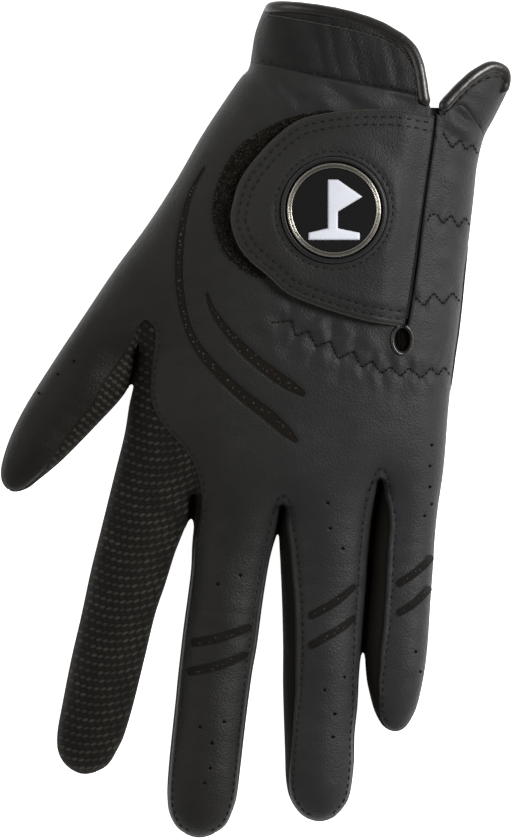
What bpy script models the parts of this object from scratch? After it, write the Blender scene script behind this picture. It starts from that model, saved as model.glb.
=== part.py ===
"""A left-hand golf glove lying palm down: leather shell, knit web, fourchettes, closure tab and ball marker."""

import math

import bpy
import numpy as np
from mathutils import Vector
from mathutils.geometry import delaunay_2d_cdt

# ---- driving dimensions, in millimetres ---------------------------------
Z_MID = 5.5  # height of the seam plane between back and palm
LOFT = 1.118  # how much the back puffs up
RELAX = 14.0  # distance over which the puff levels out
LEATHER = 0.85
GAP = 0.15  # half of the gap between neighbouring pieces
EDGE = 1.5  # band along the silhouette where the rounding is exact
MARKER = (21.0, 56.4)
KEYHOLE = (39.4, 21.6)
MARKER_R = 12.7
SOCKET_R = 14.3
HOLE_R = 14.6
FLAT_R = 15.5

# ---- outline of the flat glove, going round from the cuff corner by the thumb --------
LEFT = [(2.7, 112.3), (1.1, 108.5), (-0.3, 104.2), (-1.1, 99.4), (-1.9, 95.0), (-4.1, 92.6), (-8.1, 86.9), (-14.6, 77.0), (-21.6, 64.8), (-29.4, 52.7), (-38.3, 40.5)]
THUMB = [(-46.4, 28.4), (-54.5, 16.2), (-62.1, 4.1), (-66.2, -4.1), (-68.6, -11.3), (-68.9, -15.7), (-67.5, -18.4), (-65.1, -19.4), (-61.8, -18.4), (-58.9, -16.2), (-54.0, -12.2), (-49.7, -8.1), (-41.9, 0.0), (-36.7, 5.7), (-34.3, 9.5), (-32.9, 14.0), (-32.3, 18.4)]
INDEX = [(-31.8, 18.4), (-32.3, 14.0), (-33.1, 9.2), (-34.3, 3.8), (-35.6, -4.1), (-38.6, -16.2), (-41.6, -28.4), (-44.6, -40.5), (-47.2, -52.7), (-50.0, -64.8), (-52.4, -77.0), (-53.7, -84.5), (-53.5, -89.6), (-51.3, -93.4), (-47.5, -95.6), (-43.7, -95.3), (-40.0, -93.2), (-37.3, -88.8), (-35.6, -85.1), (-33.2, -77.0), (-30.2, -64.8), (-27.3, -52.7), (-24.6, -44.6), (-22.1, -36.5), (-20.2, -31.6), (-18.6, -27.5), (-17.7, -23.8), (-17.1, -20.4)]
MIDDLE = [(-16.6, -20.4), (-16.6, -23.8), (-16.8, -28.4), (-17.3, -33.8), (-17.6, -40.5), (-18.6, -48.6), (-19.7, -56.7), (-21.1, -68.9), (-21.9, -77.0), (-23.2, -89.1), (-23.9, -97.2), (-24.0, -101.8), (-23.5, -106.1), (-21.6, -109.9), (-18.6, -112.1), (-15.1, -112.9), (-11.3, -111.8), (-8.1, -109.4), (-6.2, -105.3), (-5.1, -101.2), (-4.1, -93.2), (-2.7, -81.0), (-1.1, -68.9), (0.3, -60.8), (1.9, -48.6), (3.6, -38.3), (5.1, -32.4), (6.2, -27.5), (7.0, -23.7)]
RING = [(7.6, -23.7), (6.8, -27.5), (6.3, -32.4), (6.6, -39.2), (7.0, -48.6), (7.3, -60.8), (7.3, -72.9), (7.8, -89.1), (8.1, -97.2), (9.2, -102.3), (11.9, -106.4), (14.9, -108.1), (17.8, -108.5), (20.8, -107.5), (23.5, -105.0), (25.4, -101.2), (26.5, -93.2), (26.7, -85.1), (27.5, -77.0), (27.9, -68.9), (28.5, -62.1), (29.1, -54.0), (29.8, -45.9), (30.3, -37.8), (31.0, -29.7), (32.0, -23.0), (33.3, -16.9)]
LITTLE = [(33.9, -16.9), (32.9, -23.0), (32.0, -29.7), (31.3, -37.8), (30.8, -45.9), (30.1, -54.0), (29.5, -62.1), (29.8, -68.9), (30.6, -73.4), (32.1, -78.8), (34.3, -82.6), (37.3, -84.2), (40.0, -83.4), (42.1, -80.5), (43.7, -76.7), (45.4, -68.9), (46.4, -60.8), (47.2, -48.6), (47.9, -39.2), (48.3, -32.4), (49.1, -24.3)]
RIGHT = [(50.8, -12.2), (52.1, 4.1), (53.5, 16.2), (54.7, 24.3), (55.6, 32.4), (56.4, 40.5), (57.5, 48.6), (58.9, 60.8), (59.8, 68.9), (61.6, 76.4), (64.0, 81.0), (66.2, 85.3), (68.0, 89.1), (68.9, 92.6)]
CUFF = [(68.0, 95.3), (65.9, 96.5), (63.2, 96.7), (60.5, 95.6), (57.0, 93.2), (52.7, 89.1), (49.4, 85.3), (47.8, 83.2), (47.0, 84.8), (46.4, 88.0), (45.9, 91.8), (45.1, 95.9), (43.5, 99.9), (41.0, 102.9), (37.5, 105.3), (32.9, 107.7), (25.4, 110.2), (17.3, 111.8), (10.5, 112.7), (5.7, 112.9)]
PALM_EDGE = [(67.2, 92.2), (63.0, 91.0), (57.0, 86.5), (50.5, 81.0), (44.0, 80.0), (38.0, 86.0), (31.0, 95.0), (22.0, 103.0), (12.0, 108.5), (4.0, 110.6)]
BEYOND = [(75.0, 100.0), (72.0, 130.0), (0.0, 135.0), (1.0, 118.0)]  # keeps the cuff standing open
BAND_SEAM = [(0.2, 96.4), (6.0, 95.3), (14.6, 93.2), (24.0, 91.2), (35.6, 89.0), (42.7, 87.5), (46.2, 86.4)]
FLAP_SEAM = [(49.6, 82.2), (54.8, 85.2), (57.8, 83.0), (61.7, 78.0), (62.4, 76.6)]
MESH_EDGE = [(-28.6, 26.3), (-27.3, 24.6), (-27.1, 21.1), (-27.8, 16.7), (-28.4, 12.2), (-28.5, 6.8), (-27.5, 3.0), (-24.8, -1.6), (-21.6, -5.1), (-18.4, -8.9), (-16.2, -13.0), (-15.4, -16.2), (-15.9, -19.6)]
VALLEY_TOP = (-30.2, 26.3)
THUMB_LEATHER = [(-31.9, 24.6), (-32.9, 22.1), (-35.4, 17.8), (-38.1, 13.8), (-41.6, 8.9), (-44.0, 3.8), (-46.7, 0.8), (-50.0, -3.5), (-54.3, -9.2), (-57.5, -13.8), (-60.5, -16.6)]
SLIT = [(47.8, 83.2), (47.0, 75.6), (45.4, 64.8), (44.0, 54.0), (42.7, 42.7), (41.0, 31.1), (40.0, 25.7)]
TAB = [(48.3, 81.6), (38.1, 83.2), (28.6, 83.2), (21.1, 82.6), (12.2, 80.7), (5.9, 76.4), (0.7, 71.0), (-3.8, 64.8), (-5.9, 58.6), (-6.5, 53.3), (-4.6, 47.2), (-1.1, 42.7), (3.2, 39.1), (8.6, 34.3), (15.7, 31.2), (23.6, 28.6), (30.8, 26.7), (39.2, 25.4)]
PAD = [(19.2, 83.5), (8.6, 81.3), (1.6, 78.0), (-3.8, 74.5), (-7.3, 70.2), (-10.4, 64.0), (-11.6, 58.6), (-11.3, 52.4), (-9.0, 46.2), (-5.5, 41.8), (0.7, 38.3), (10.0, 37.2), (20.0, 36.5), (29.0, 38.0), (31.5, 50.0), (32.0, 64.0), (30.0, 76.0), (26.0, 82.0)]
FLEX_LONG = [(-14.0, 68.0, 0.8), (-17.3, 61.8, 1.4), (-19.3, 55.1, 2.0), (-20.5, 47.2, 2.4), (-20.8, 39.2, 2.4), (-20.0, 31.3, 2.4), (-18.1, 24.3, 2.4), (-14.9, 18.4, 2.7), (-9.2, 11.9, 3.0), (-3.0, 6.2, 3.2), (3.2, 1.4, 3.4), (7.8, -2.7, 3.0), (10.5, -5.4, 1.6)]
FLEX_SHORT = [(-13.2, 33.8, 1.1), (-11.6, 29.4, 1.8), (-8.1, 24.3, 2.3), (-3.2, 18.9, 2.9), (2.7, 13.8, 3.1), (8.6, 9.7, 3.0), (12.4, 7.3, 1.9)]
BARS = {
    "bar_middle_upper": [(-16.0, -60.0, 2.1), (-9.2, -58.6, 2.1), (-2.9, -56.5, 1.6)],
    "bar_middle_lower": [(-17.0, -67.7, 2.1), (-10.3, -66.3, 2.1), (-3.9, -63.9, 1.6)],
    "bar_ring_upper": [(15.0, -52.7, 1.9), (19.7, -50.2, 2.0), (23.2, -47.8, 1.9), (26.3, -45.1, 1.5)],
    "bar_ring_lower": [(15.0, -60.8, 1.9), (19.7, -58.1, 2.0), (23.5, -55.8, 1.9), (26.2, -53.6, 1.5)],
    "bar_little_upper": [(38.7, -44.1, 1.8), (42.2, -41.8, 1.9), (45.4, -39.6, 1.8)],
    "bar_little_lower": [(38.7, -52.0, 1.8), (42.2, -49.9, 1.9), (45.0, -47.6, 1.8)],
}
# where each finger leaves the hand, as a line across it, and the line that it bends on
BASE = {"thumb": ((-49.5, 21.5), (-31.0, 9.6)), "index": ((-40.5, -15.2), (-14.0, -20.8)), "middle": ((-19.6, -20.6), (9.5, -24.9)), "ring": ((5.5, -24.6), (34.8, -16.0)), "little": ((32.2, -15.6), (51.5, -20.6))}
FLEX = {"thumb": (-52.9, 1.2, 0.0), "index": (-37.5, -53.5, 0.0), "middle": (-9.4, -54.0, 0.0), "ring": (18.1, -41.5, 0.0), "little": (39.4, -35.6, 0.0)}
FLEX_AXIS = {"thumb": (0.841, -0.541), "index": (0.972, -0.237), "middle": (0.992, -0.122), "ring": (0.999, -0.04), "little": (0.999, -0.04)}

LOOKS = {
    "leather": (0.035, 0.035, 0.040, 0.0, 0.55), "palm_leather": (0.040, 0.040, 0.044, 0.0, 0.60),
    "knit": (0.020, 0.020, 0.021, 0.0, 0.85), "piping": (0.012, 0.012, 0.013, 0.0, 0.25),
    "elastic": (0.030, 0.030, 0.030, 0.0, 0.80), "loops": (0.010, 0.010, 0.010, 0.0, 0.95),
    "metal": (0.75, 0.75, 0.76, 1.0, 0.22), "enamel": (0.008, 0.008, 0.009, 0.0, 0.12),
    "white": (0.85, 0.85, 0.85, 0.0, 0.30), "socket": (0.015, 0.015, 0.016, 0.0, 0.40),
}


# ---- curves -------------------------------------------------------------
def spline(points, step):
    """A Catmull-Rom curve through the points, sampled about every step."""
    p = np.array(points, float)
    ext = np.vstack([2 * p[0] - p[1], p, 2 * p[-1] - p[-2]])
    out = []
    for i in range(1, len(ext) - 2):
        n = max(1, int(round(np.linalg.norm(ext[i + 1][:2] - ext[i][:2]) / step)))
        for k in range(n):
            t = k / n
            a, b, c, d = ext[i - 1], ext[i], ext[i + 1], ext[i + 2]
            out.append(0.5 * (2 * b + (c - a) * t + (2 * a - 5 * b + 4 * c - d) * t * t + (3 * b - a - 3 * c + d) * t**3))
    out.append(ext[-2])
    return np.array(out)


def every(curve, step):
    """The curve resampled at equal spacing near step, ends kept."""
    seg = np.linalg.norm(np.diff(curve[:, :2], axis=0), axis=1)
    s = np.concatenate([[0], np.cumsum(seg)])
    n = max(1, int(round(s[-1] / step)))
    t = np.linspace(0, s[-1], n + 1)
    return np.stack([np.interp(t, s, curve[:, k]) for k in range(curve.shape[1])], axis=1)


def inside(points, poly):
    x, y = points[:, 0][:, None], points[:, 1][:, None]
    a, b = poly, np.roll(poly, -1, axis=0)
    cross = (a[:, 1] > y) != (b[:, 1] > y)
    dy = np.where(b[:, 1] == a[:, 1], 1e-12, b[:, 1] - a[:, 1])
    at = (b[:, 0] - a[:, 0]) * (y - a[:, 1]) / dy + a[:, 0]
    return (cross & (x < at)).sum(axis=1) % 2 == 1


def nearest(points, poly, closed=True):
    """Distance to a polyline and the nearest point on it."""
    a = poly
    b = np.roll(poly, -1, axis=0) if closed else poly[1:]
    a = a if closed else a[:-1]
    best = np.full(len(points), 1e18)
    where = np.zeros((len(points), 2))
    for s in range(0, len(points), 4000):
        p = points[s:s + 4000, None, :]
        ab = b - a
        t = np.clip(((p - a) * ab).sum(-1) / np.maximum((ab * ab).sum(-1), 1e-12), 0, 1)
        q = a + ab * t[..., None]
        d = ((p - q) ** 2).sum(-1)
        i = d.argmin(axis=1)
        r = np.arange(len(i))
        best[s:s + 4000] = d[r, i]
        where[s:s + 4000] = q[r, i]
    return np.sqrt(best), where


def area(poly):
    x, y = poly[:, 0], poly[:, 1]
    return 0.5 * (x * np.roll(y, -1) - y * np.roll(x, -1)).sum()


def inset(poly, by):
    """The closed outline moved inwards, with sharp corners limited."""
    if area(poly) < 0:
        poly = poly[::-1]
    e = np.roll(poly, -1, axis=0) - poly
    e /= np.maximum(np.linalg.norm(e, axis=1), 1e-9)[:, None]
    n = np.stack([-e[:, 1], e[:, 0]], axis=1)
    m = n + np.roll(n, 1, axis=0)
    m /= np.maximum(np.linalg.norm(m, axis=1), 1e-6)[:, None]
    k = np.maximum((m * n).sum(axis=1), 0.4)
    return poly + m * (by / k)[:, None]


def smooth(t):
    t = np.clip(t, 0.0, 1.0)
    return t * t * (3 - 2 * t)


# ---- the puffed shape of the flat glove ---------------------------------
SILHOUETTE = np.vstack([
    spline(LEFT + THUMB, 1.0), spline(INDEX, 1.0), spline(MIDDLE, 1.0),
    spline(RING, 1.0), spline(LITTLE + RIGHT, 1.0), spline(CUFF, 1.0)])
SIDES = np.vstack([
    spline(LEFT + THUMB, 1.0), spline(INDEX, 1.0), spline(MIDDLE, 1.0),
    spline(RING, 1.0), spline(LITTLE + RIGHT, 1.0), np.array(BEYOND)])
CELL = 0.5
X0, Y0, NX, NY = -71.0, -115.0, 296, 502


def solve_puff():
    xs = X0 + CELL * np.arange(NX)
    ys = Y0 + CELL * np.arange(NY)
    gx, gy = np.meshgrid(xs, ys)
    mask = np.zeros((NY, NX), bool)
    flat = np.stack([gx.ravel(), gy.ravel()], axis=1)
    for s in range(0, len(flat), 20000):
        mask.ravel()[s:s + 20000] = inside(flat[s:s + 20000], SIDES)
    mask[0], mask[-1], mask[:, 0], mask[:, -1] = False, False, False, False
    u = np.where(mask, 60.0, 0.0)
    k = 4 + (CELL / RELAX) ** 2
    parity = (np.add.outer(np.arange(NY), np.arange(NX)) % 2).astype(bool)
    inner = (slice(1, -1), slice(1, -1))
    reds, blacks = mask & parity, mask & ~parity
    for _ in range(260):
        for turn in (reds, blacks):
            around = u[:-2, 1:-1] + u[2:, 1:-1] + u[1:-1, :-2] + u[1:-1, 2:]
            new = (around + CELL * CELL) / k
            u[inner] = np.where(turn[inner], u[inner] + 1.88 * (new - u[inner]), u[inner])
    return u


PUFF = solve_puff()


def sampled(points):
    fx = np.clip((points[:, 0] - X0) / CELL, 0, NX - 2.001)
    fy = np.clip((points[:, 1] - Y0) / CELL, 0, NY - 2.001)
    ix, iy = fx.astype(int), fy.astype(int)
    tx, ty = fx - ix, fy - iy
    low = PUFF[iy, ix] * (1 - tx) + PUFF[iy, ix + 1] * tx
    high = PUFF[iy + 1, ix] * (1 - tx) + PUFF[iy + 1, ix + 1] * tx
    return low * (1 - ty) + high * ty


def edge_row(depth, step):
    """Points at one depth inside the silhouette."""
    line = every(np.vstack([SIDES, SIDES[:1]]), step)
    t = np.roll(line, -1, axis=0) - np.roll(line, 1, axis=0)
    t /= np.maximum(np.linalg.norm(t, axis=1), 1e-9)[:, None]
    turn = 1.0 if area(SIDES) > 0 else -1.0
    row = line + turn * depth * np.stack([-t[:, 1], t[:, 0]], axis=1)
    near = nearest(row, SIDES)[0]
    return row[(near > depth * 0.85) & inside(row, SIDES)]


EDGE_ROWS = {1.3: edge_row(1.3, 5.0), 3.5: edge_row(3.5, 5.5)}


def puff(points):
    """Rise of the back above the seam plane, with its edge rounding."""
    points = np.asarray(points, float)[:, :2]
    d, q = nearest(points, SIDES)
    away = (points - q) / np.maximum(d, 1e-6)[:, None]
    near = d < EDGE
    at = np.where(near[:, None], q + away * EDGE, points)
    return LOFT * np.sqrt(np.maximum(sampled(at), 0) * np.where(near, d / EDGE, 1.0)) * np.where(d < 1e-5, 0, 1)


def slant(points):
    h = 0.4
    gx = (puff(points + [h, 0]) - puff(points - [h, 0])) / (2 * h)
    gy = (puff(points + [0, h]) - puff(points - [0, h])) / (2 * h)
    return np.minimum(np.sqrt(1 + gx * gx + gy * gy), 2.4)


FLAT_Z = float(puff(np.array([MARKER]))[0]) + Z_MID


def back(points):
    """Height of the outer face of the back."""
    return Z_MID + 0.7 + puff(points)


def under(points):
    """Height of the outer face of the palm side."""
    t = puff(points)
    return (Z_MID - 0.7) * (1 - np.sin(0.5 * math.pi * np.minimum(1, t / 4.6)))


def back_shell(thick, lift=0.0):
    def top(p):
        return back(p) + lift + 0 * p[:, 0]

    def bottom(p):
        return np.maximum(back(p) + lift - thick * slant(p), Z_MID + 0.15)

    return top, bottom


def palm_shell(thick):
    def top(p):
        t = puff(p)
        wall = np.where(t < 4.6, 1.7, 1.0)
        return np.minimum(under(p) + thick * wall, Z_MID - 0.15)

    return top, under


# ---- solids -------------------------------------------------------------
def add(name, verts, faces, look, origin=(0.0, 0.0, 0.0), smooth_faces=True):
    shift = np.array(origin, float)
    mesh = bpy.data.meshes.new(name)
    mesh.from_pydata([tuple((np.array(v) - shift) / 1000.0) for v in verts], [], [tuple(int(i) for i in f) for f in faces])
    mesh.validate()
    if smooth_faces:
        mesh.polygons.foreach_set("use_smooth", [True] * len(mesh.polygons))
        mesh.set_sharp_from_angle(angle=math.radians(35))
    obj = bpy.data.objects.new(name, mesh)
    obj.location = tuple(shift / 1000.0)
    bpy.context.scene.collection.objects.link(obj)
    r, g, b, metal, rough = LOOKS[look]
    mat = bpy.data.materials.new(name + "_mat")
    mat.use_nodes = True
    bsdf = mat.node_tree.nodes["Principled BSDF"]
    bsdf.inputs["Base Color"].default_value = (r, g, b, 1)
    bsdf.inputs["Metallic"].default_value = metal
    bsdf.inputs["Roughness"].default_value = rough
    mat.diffuse_color = (r, g, b, 1)
    mesh.materials.append(mat)
    return obj


def triangulate(outline, holes, step, sparse=None, rounded=False):
    rings = [outline] + list(holes)
    pts = [tuple(p) for ring in rings for p in ring[:, :2]]
    edges, k = [], 0
    for ring in rings:
        edges += [(k + i, k + (i + 1) % len(ring)) for i in range(len(ring))]
        k += len(ring)
    lo, hi = outline[:, :2].min(axis=0), outline[:, :2].max(axis=0)
    rows = []
    y, odd = lo[1] + step * 0.5, 0
    while y < hi[1]:
        xs = np.arange(lo[0] + (step * 0.5 if odd else 0.0), hi[0], step)
        rows += [(x, y) for x in xs]
        y += step * 0.866
        odd ^= 1
    cand = np.array(rows)
    if len(cand):
        keep = inside(cand, outline[:, :2])
        for hole in holes:
            keep &= ~inside(cand, hole[:, :2])
        cand = cand[keep]
    if len(cand):
        keep = np.ones(len(cand), bool)
        for ring in rings:
            keep &= nearest(cand, ring[:, :2])[0] > step * 0.45
        cand = cand[keep]
    if sparse is not None and len(cand):
        cand = cand[sparse(cand)]
    if rounded:
        # rows along the silhouette, so that the side of the glove comes out round
        for depth, first in ((1.3, 0.9), (3.5, 1.9)):
            row = EDGE_ROWS[depth]
            keep = inside(row, outline[:, :2])
            for ring in rings:
                keep &= nearest(row, ring[:, :2])[0] > first * 0.55
            row = row[keep]
            if len(row) and len(cand):
                cand = cand[nearest(cand, SILHOUETTE)[0] > 5.4]
            pts += [tuple(p) for p in row]
    pts += [tuple(p) for p in cand]
    out = delaunay_2d_cdt([Vector(p) for p in pts], edges, [], 0, 1e-5, True)
    v = np.array([tuple(p) for p in out[0]])
    f = np.array([t for t in out[2] if len(t) == 3])
    mid = v[f].mean(axis=1)
    keep = inside(mid, outline[:, :2])
    for hole in holes:
        keep &= ~inside(mid, hole[:, :2])
    a = v[f]
    twice = (a[:, 1, 0] - a[:, 0, 0]) * (a[:, 2, 1] - a[:, 0, 1]) - (a[:, 1, 1] - a[:, 0, 1]) * (a[:, 2, 0] - a[:, 0, 0])
    f = f[keep & (np.abs(twice) > 1e-7)]
    twice = twice[keep & (np.abs(twice) > 1e-7)]
    f[twice < 0] = f[twice < 0][:, ::-1]
    used = np.unique(f)
    index = -np.ones(len(v), int)
    index[used] = np.arange(len(used))
    return v[used], index[f]


def shell(name, outline, surfaces, look, step=6.0, holes=(), origin=(0, 0, 0), sparse=None):
    """A closed sheet over an outline, between a lower and an upper height."""
    if area(outline) < 0:
        outline = outline[::-1]
    v, f = triangulate(outline, holes, step, sparse, surfaces in ((BACK_T, BACK_B), (PALM_T, PALM_B)) and step < 30)
    top, bottom = surfaces
    zt, zb = top(v), bottom(v)
    n = len(v)
    verts = np.vstack([np.column_stack([v, zt]), np.column_stack([v, zb])])
    faces = [tuple(t) for t in f] + [(t[2] + n, t[1] + n, t[0] + n) for t in f]
    count = {}
    for t in f:
        for a, b in ((t[0], t[1]), (t[1], t[2]), (t[2], t[0])):
            count[(a, b)] = 1
    for a, b in count:
        if (b, a) not in count:
            faces += [(b, a, a + n), (b, a + n, b + n)]
    return add(name, verts, faces, look, origin)


def joined(*parts):
    """One closed outline from curve pieces, near-repeated points dropped."""
    p = np.vstack([np.asarray(q, float)[:, :2] for q in parts])
    keep = [0]
    for i in range(1, len(p)):
        if np.linalg.norm(p[i] - p[keep[-1]]) > 0.45:
            keep.append(i)
    if np.linalg.norm(p[keep[-1]] - p[keep[0]]) < 0.45:
        keep.pop()
    return p[keep]


def panel(parts, step=4.5):
    """An outline from curves, resampled, then drawn in by the gap."""
    return inset(joined(*[every(spline(q, 0.5), step) if len(q) > 2 else every(np.array(q, float), step) for q in parts]), GAP)


def tube(name, path, r, look, sides=8, origin=(0, 0, 0), squash=1.0):
    """A round cord along a 3-D path, with flat ends."""
    p = np.asarray(path, float)
    t = np.gradient(p, axis=0)
    t /= np.linalg.norm(t, axis=1)[:, None]
    up = np.array([0, 0, 1.0])
    side = np.cross(t, up)
    side /= np.linalg.norm(side, axis=1)[:, None]
    lift = np.cross(side, t)
    verts, faces = [], []
    for i in range(len(p)):
        for k in range(sides):
            a = 2 * math.pi * k / sides
            verts.append(p[i] + side[i] * r * math.cos(a) + lift[i] * r * squash * math.sin(a))
    n = len(p)
    for i in range(n - 1):
        for k in range(sides):
            a, b = i * sides + k, i * sides + (k + 1) % sides
            faces.append((a, b, b + sides, a + sides))
    faces.append(tuple(range(sides))[::-1])
    faces.append(tuple((n - 1) * sides + k for k in range(sides)))
    obj = add(name, verts, faces, look, origin)
    return obj


def lathe(name, profile, centre, look, sides=40, origin=(0, 0, 0)):
    """A ring or disc turned about the vertical through centre; profile is a closed list of (radius, height)."""
    verts, faces = [], []
    m = len(profile)
    solid = [r < 1e-6 for r, _ in profile]
    index = []
    for i, (r, z) in enumerate(profile):
        if solid[i]:
            index.append([len(verts)] * sides)
            verts.append((centre[0], centre[1], z))
        else:
            index.append([len(verts) + k for k in range(sides)])
            verts += [(centre[0] + r * math.cos(2 * math.pi * k / sides), centre[1] + r * math.sin(2 * math.pi * k / sides), z) for k in range(sides)]
    for i in range(m):
        j = (i + 1) % m
        for k in range(sides):
            q = [index[i][k], index[i][(k + 1) % sides], index[j][(k + 1) % sides], index[j][k]]
            f = []
            for a in q:
                if a not in f:
                    f.append(a)
            if len(f) > 2:
                faces.append(tuple(f))
    return add(name, verts, faces, look, origin)


def ribbon(spine, step=4.0, grow=0.0):
    """The closed outline of a tapering strip with rounded ends, from (x, y, width) points."""
    c = every(spline(spine, 0.5), step)
    t = np.gradient(c[:, :2], axis=0)
    t /= np.linalg.norm(t, axis=1)[:, None]
    n = np.stack([-t[:, 1], t[:, 0]], axis=1)
    w = c[:, 2:3] / 2 + grow
    left, right = c[:, :2] + n * w, c[:, :2] - n * w
    tip_a = c[:1, :2] - t[:1] * w[:1]
    tip_b = c[-1:, :2] + t[-1:] * w[-1:]
    return np.vstack([tip_a, left, tip_b, right[::-1]])


def cut(line_a, line_b, poly_curve):
    """The parameter index on a curve where it crosses the endless line a-b."""
    a, b = np.array(line_a[:2], float), np.array(line_b[:2], float)
    n = np.array([-(b - a)[1], (b - a)[0]])
    s = (poly_curve[:, :2] - a) @ n
    mid = 0.5 * (a + b)
    half = np.linalg.norm(b - a)
    best = None
    for i in range(len(s) - 1):
        if s[i] * s[i + 1] <= 0 and s[i] != s[i + 1]:
            t = s[i] / (s[i] - s[i + 1])
            p = poly_curve[i] * (1 - t) + poly_curve[i + 1] * t
            if np.linalg.norm(p[:2] - mid) < half and best is None:
                best = (i, p)
    return best


def between(curve, line_a, line_b):
    """The part of the curve from where it crosses line a to where it crosses line b (None = its end)."""
    lo, start = (None if line_a is None else cut(line_a[0], line_a[1], curve)) or (0, None)
    hi, stop = (None if line_b is None else cut(line_b[0], line_b[1], curve)) or (len(curve) - 1, None)
    body = curve[lo + 1:hi + 1] if start is not None else curve[lo:hi + 1]
    parts = ([start[None]] if start is not None else []) + [body] + ([stop[None]] if stop is not None else [])
    return np.vstack(parts)


def offset_curve(curve, widths, flip=1.0):
    """The curve moved to its inner side by widths."""
    t = np.gradient(curve, axis=0)
    t /= np.maximum(np.linalg.norm(t, axis=1), 1e-9)[:, None]
    n = np.stack([-t[:, 1], t[:, 0]], axis=1) * flip
    return curve + n * np.asarray(widths)[:, None]


def start_over():
    for obj in list(bpy.data.objects):
        bpy.data.objects.remove(obj, do_unlink=True)


start_over()

# ---- the outline curves of each finger, split into their two sides -------
CURVE = {
    "left": spline(LEFT + THUMB, 0.5), "index": spline(INDEX, 0.5), "middle": spline(MIDDLE, 0.5),
    "ring": spline(RING, 0.5), "little": spline(LITTLE + RIGHT, 0.5)}
TIP_AT = {"left": (-67.5, -18.4), "index": (-47.5, -95.6), "middle": (-15.1, -112.9), "ring": (17.8, -108.5), "little": (37.3, -84.2)}
SIDE_A, SIDE_B = {}, {}
for key, curve in CURVE.items():
    k = int(np.linalg.norm(curve - np.array(TIP_AT[key]), axis=1).argmin())
    name = "thumb" if key == "left" else key
    SIDE_A[name], SIDE_B[name] = curve[:k + 1], curve[k:][::-1]  # both run from the hand to the tip


def hinge_line(f):
    p, a = np.array(FLEX[f][:2]), np.array(FLEX_AXIS[f])
    return (tuple(p - a * 14.0), tuple(p + a * 14.0))


def side_offset(curve, w, flip):
    return offset_curve(curve, np.full(len(curve), w), flip)


# how far the back stops short of the silhouette on each side of a finger, where a side strip is let in
STRIP = 1.5
TIP_CLEAR = 8.0
INSET_A = {"thumb": 0.0, "index": 0.0, "middle": STRIP, "ring": 3.2, "little": 4.4}
INSET_B = {"thumb": 0.0, "index": STRIP, "middle": STRIP, "ring": STRIP, "little": 0.0}


def line_between(a, b):
    return every(np.array([a[:2], b[:2]], float), 4.0)


def ladder(one, other, tip=False, step=4.0):
    """The outline between two sides that run from the hand outwards, with points along the cuts as well."""
    far = [] if tip else [every(np.array([one[-1], other[-1]]), step)]
    return joined(every(one, step), *far, every(other, step)[::-1], every(np.array([other[0], one[0]]), step)[:-1])


def finger_outline(f, from_line, to_line, palm=False):
    """Outline of one finger panel between two cross lines; to_line None takes in the tip."""
    a, b = SIDE_A[f], SIDE_B[f]
    wa = STRIP if palm and INSET_A[f] else INSET_A[f]
    wb = INSET_B[f]
    tip = np.array(TIP_AT["left" if f == "thumb" else f])
    # the side strips end short of the fingertip, where the panel closes over
    a = offset_curve(a, wa * smooth((np.linalg.norm(a - tip, axis=1) - TIP_CLEAR) / 5.0), 1.0)
    b = offset_curve(b, wb * smooth((np.linalg.norm(b - tip, axis=1) - TIP_CLEAR) / 5.0), -1.0)
    ca, cb = between(a, from_line, to_line), between(b, from_line, to_line)
    return ladder(ca, cb, to_line is None)


BACK_T, BACK_B = back_shell(LEATHER)
PALM_T, PALM_B = palm_shell(LEATHER)
FINGERS = ("index", "middle", "ring", "little", "thumb")


def sides_only(p):
    return puff(p) < 5.4


for f in FINGERS:
    hinge = hinge_line(f)
    base = BASE[f]
    at = FLEX[f]
    shell(f + "_palm", inset(finger_outline(f, base, hinge, True), GAP), (PALM_T, PALM_B), "palm_leather", 4.5, sparse=sides_only)
    shell(f + "_tip_palm", inset(finger_outline(f, hinge, None, True), GAP), (PALM_T, PALM_B), "palm_leather", 4.5, origin=at, sparse=sides_only)
    if f != "thumb":
        look = "knit" if f == "index" else "leather"
        shell(f + "_back", inset(finger_outline(f, base, hinge), GAP), (BACK_T, BACK_B), look, 5.0)
        shell(f + "_tip_back", inset(finger_outline(f, hinge, None), GAP), (BACK_T, BACK_B), look, 5.0, origin=at)

# thumb: leather outside, mesh strip along the inner side
seam = every(spline(THUMB_LEATHER, 0.5), 1.0)
outer_a, inner_b = SIDE_A["thumb"], SIDE_B["thumb"]
base, hinge = BASE["thumb"], hinge_line("thumb")
shell("thumb_back", inset(ladder(between(outer_a, base, hinge), between(seam, base, hinge)), GAP), (BACK_T, BACK_B), "leather", 5.0)
shell("thumb_mesh", inset(joined([(-30.9, 25.9)], every(between(seam, None, hinge), 4), line_between(between(seam, None, hinge)[-1], between(inner_b, None, hinge)[-1]), every(between(inner_b, None, hinge), 4)[::-1], [(-31.5, 22.1)]), GAP), (BACK_T, BACK_B), "knit", 4.0)
shell("thumb_tip_back", inset(joined(every(between(outer_a, hinge, None), 4), np.array([(-65.1, -19.4)]), every(between(seam, hinge, None), 4)[::-1], line_between(between(seam, hinge, None)[0], between(outer_a, hinge, None)[0])), GAP), (BACK_T, BACK_B), "leather", 5.0, origin=FLEX["thumb"])
end = between(inner_b, hinge, None)
end = end[end[:, 0] > -60.0]
shell("thumb_tip_mesh", inset(joined(every(between(seam, hinge, None)[:-2], 4), every(end, 4)[::-1], line_between(end[0], between(seam, hinge, None)[0])), GAP), (BACK_T, BACK_B), "knit", 3.0, origin=FLEX["thumb"])


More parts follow.
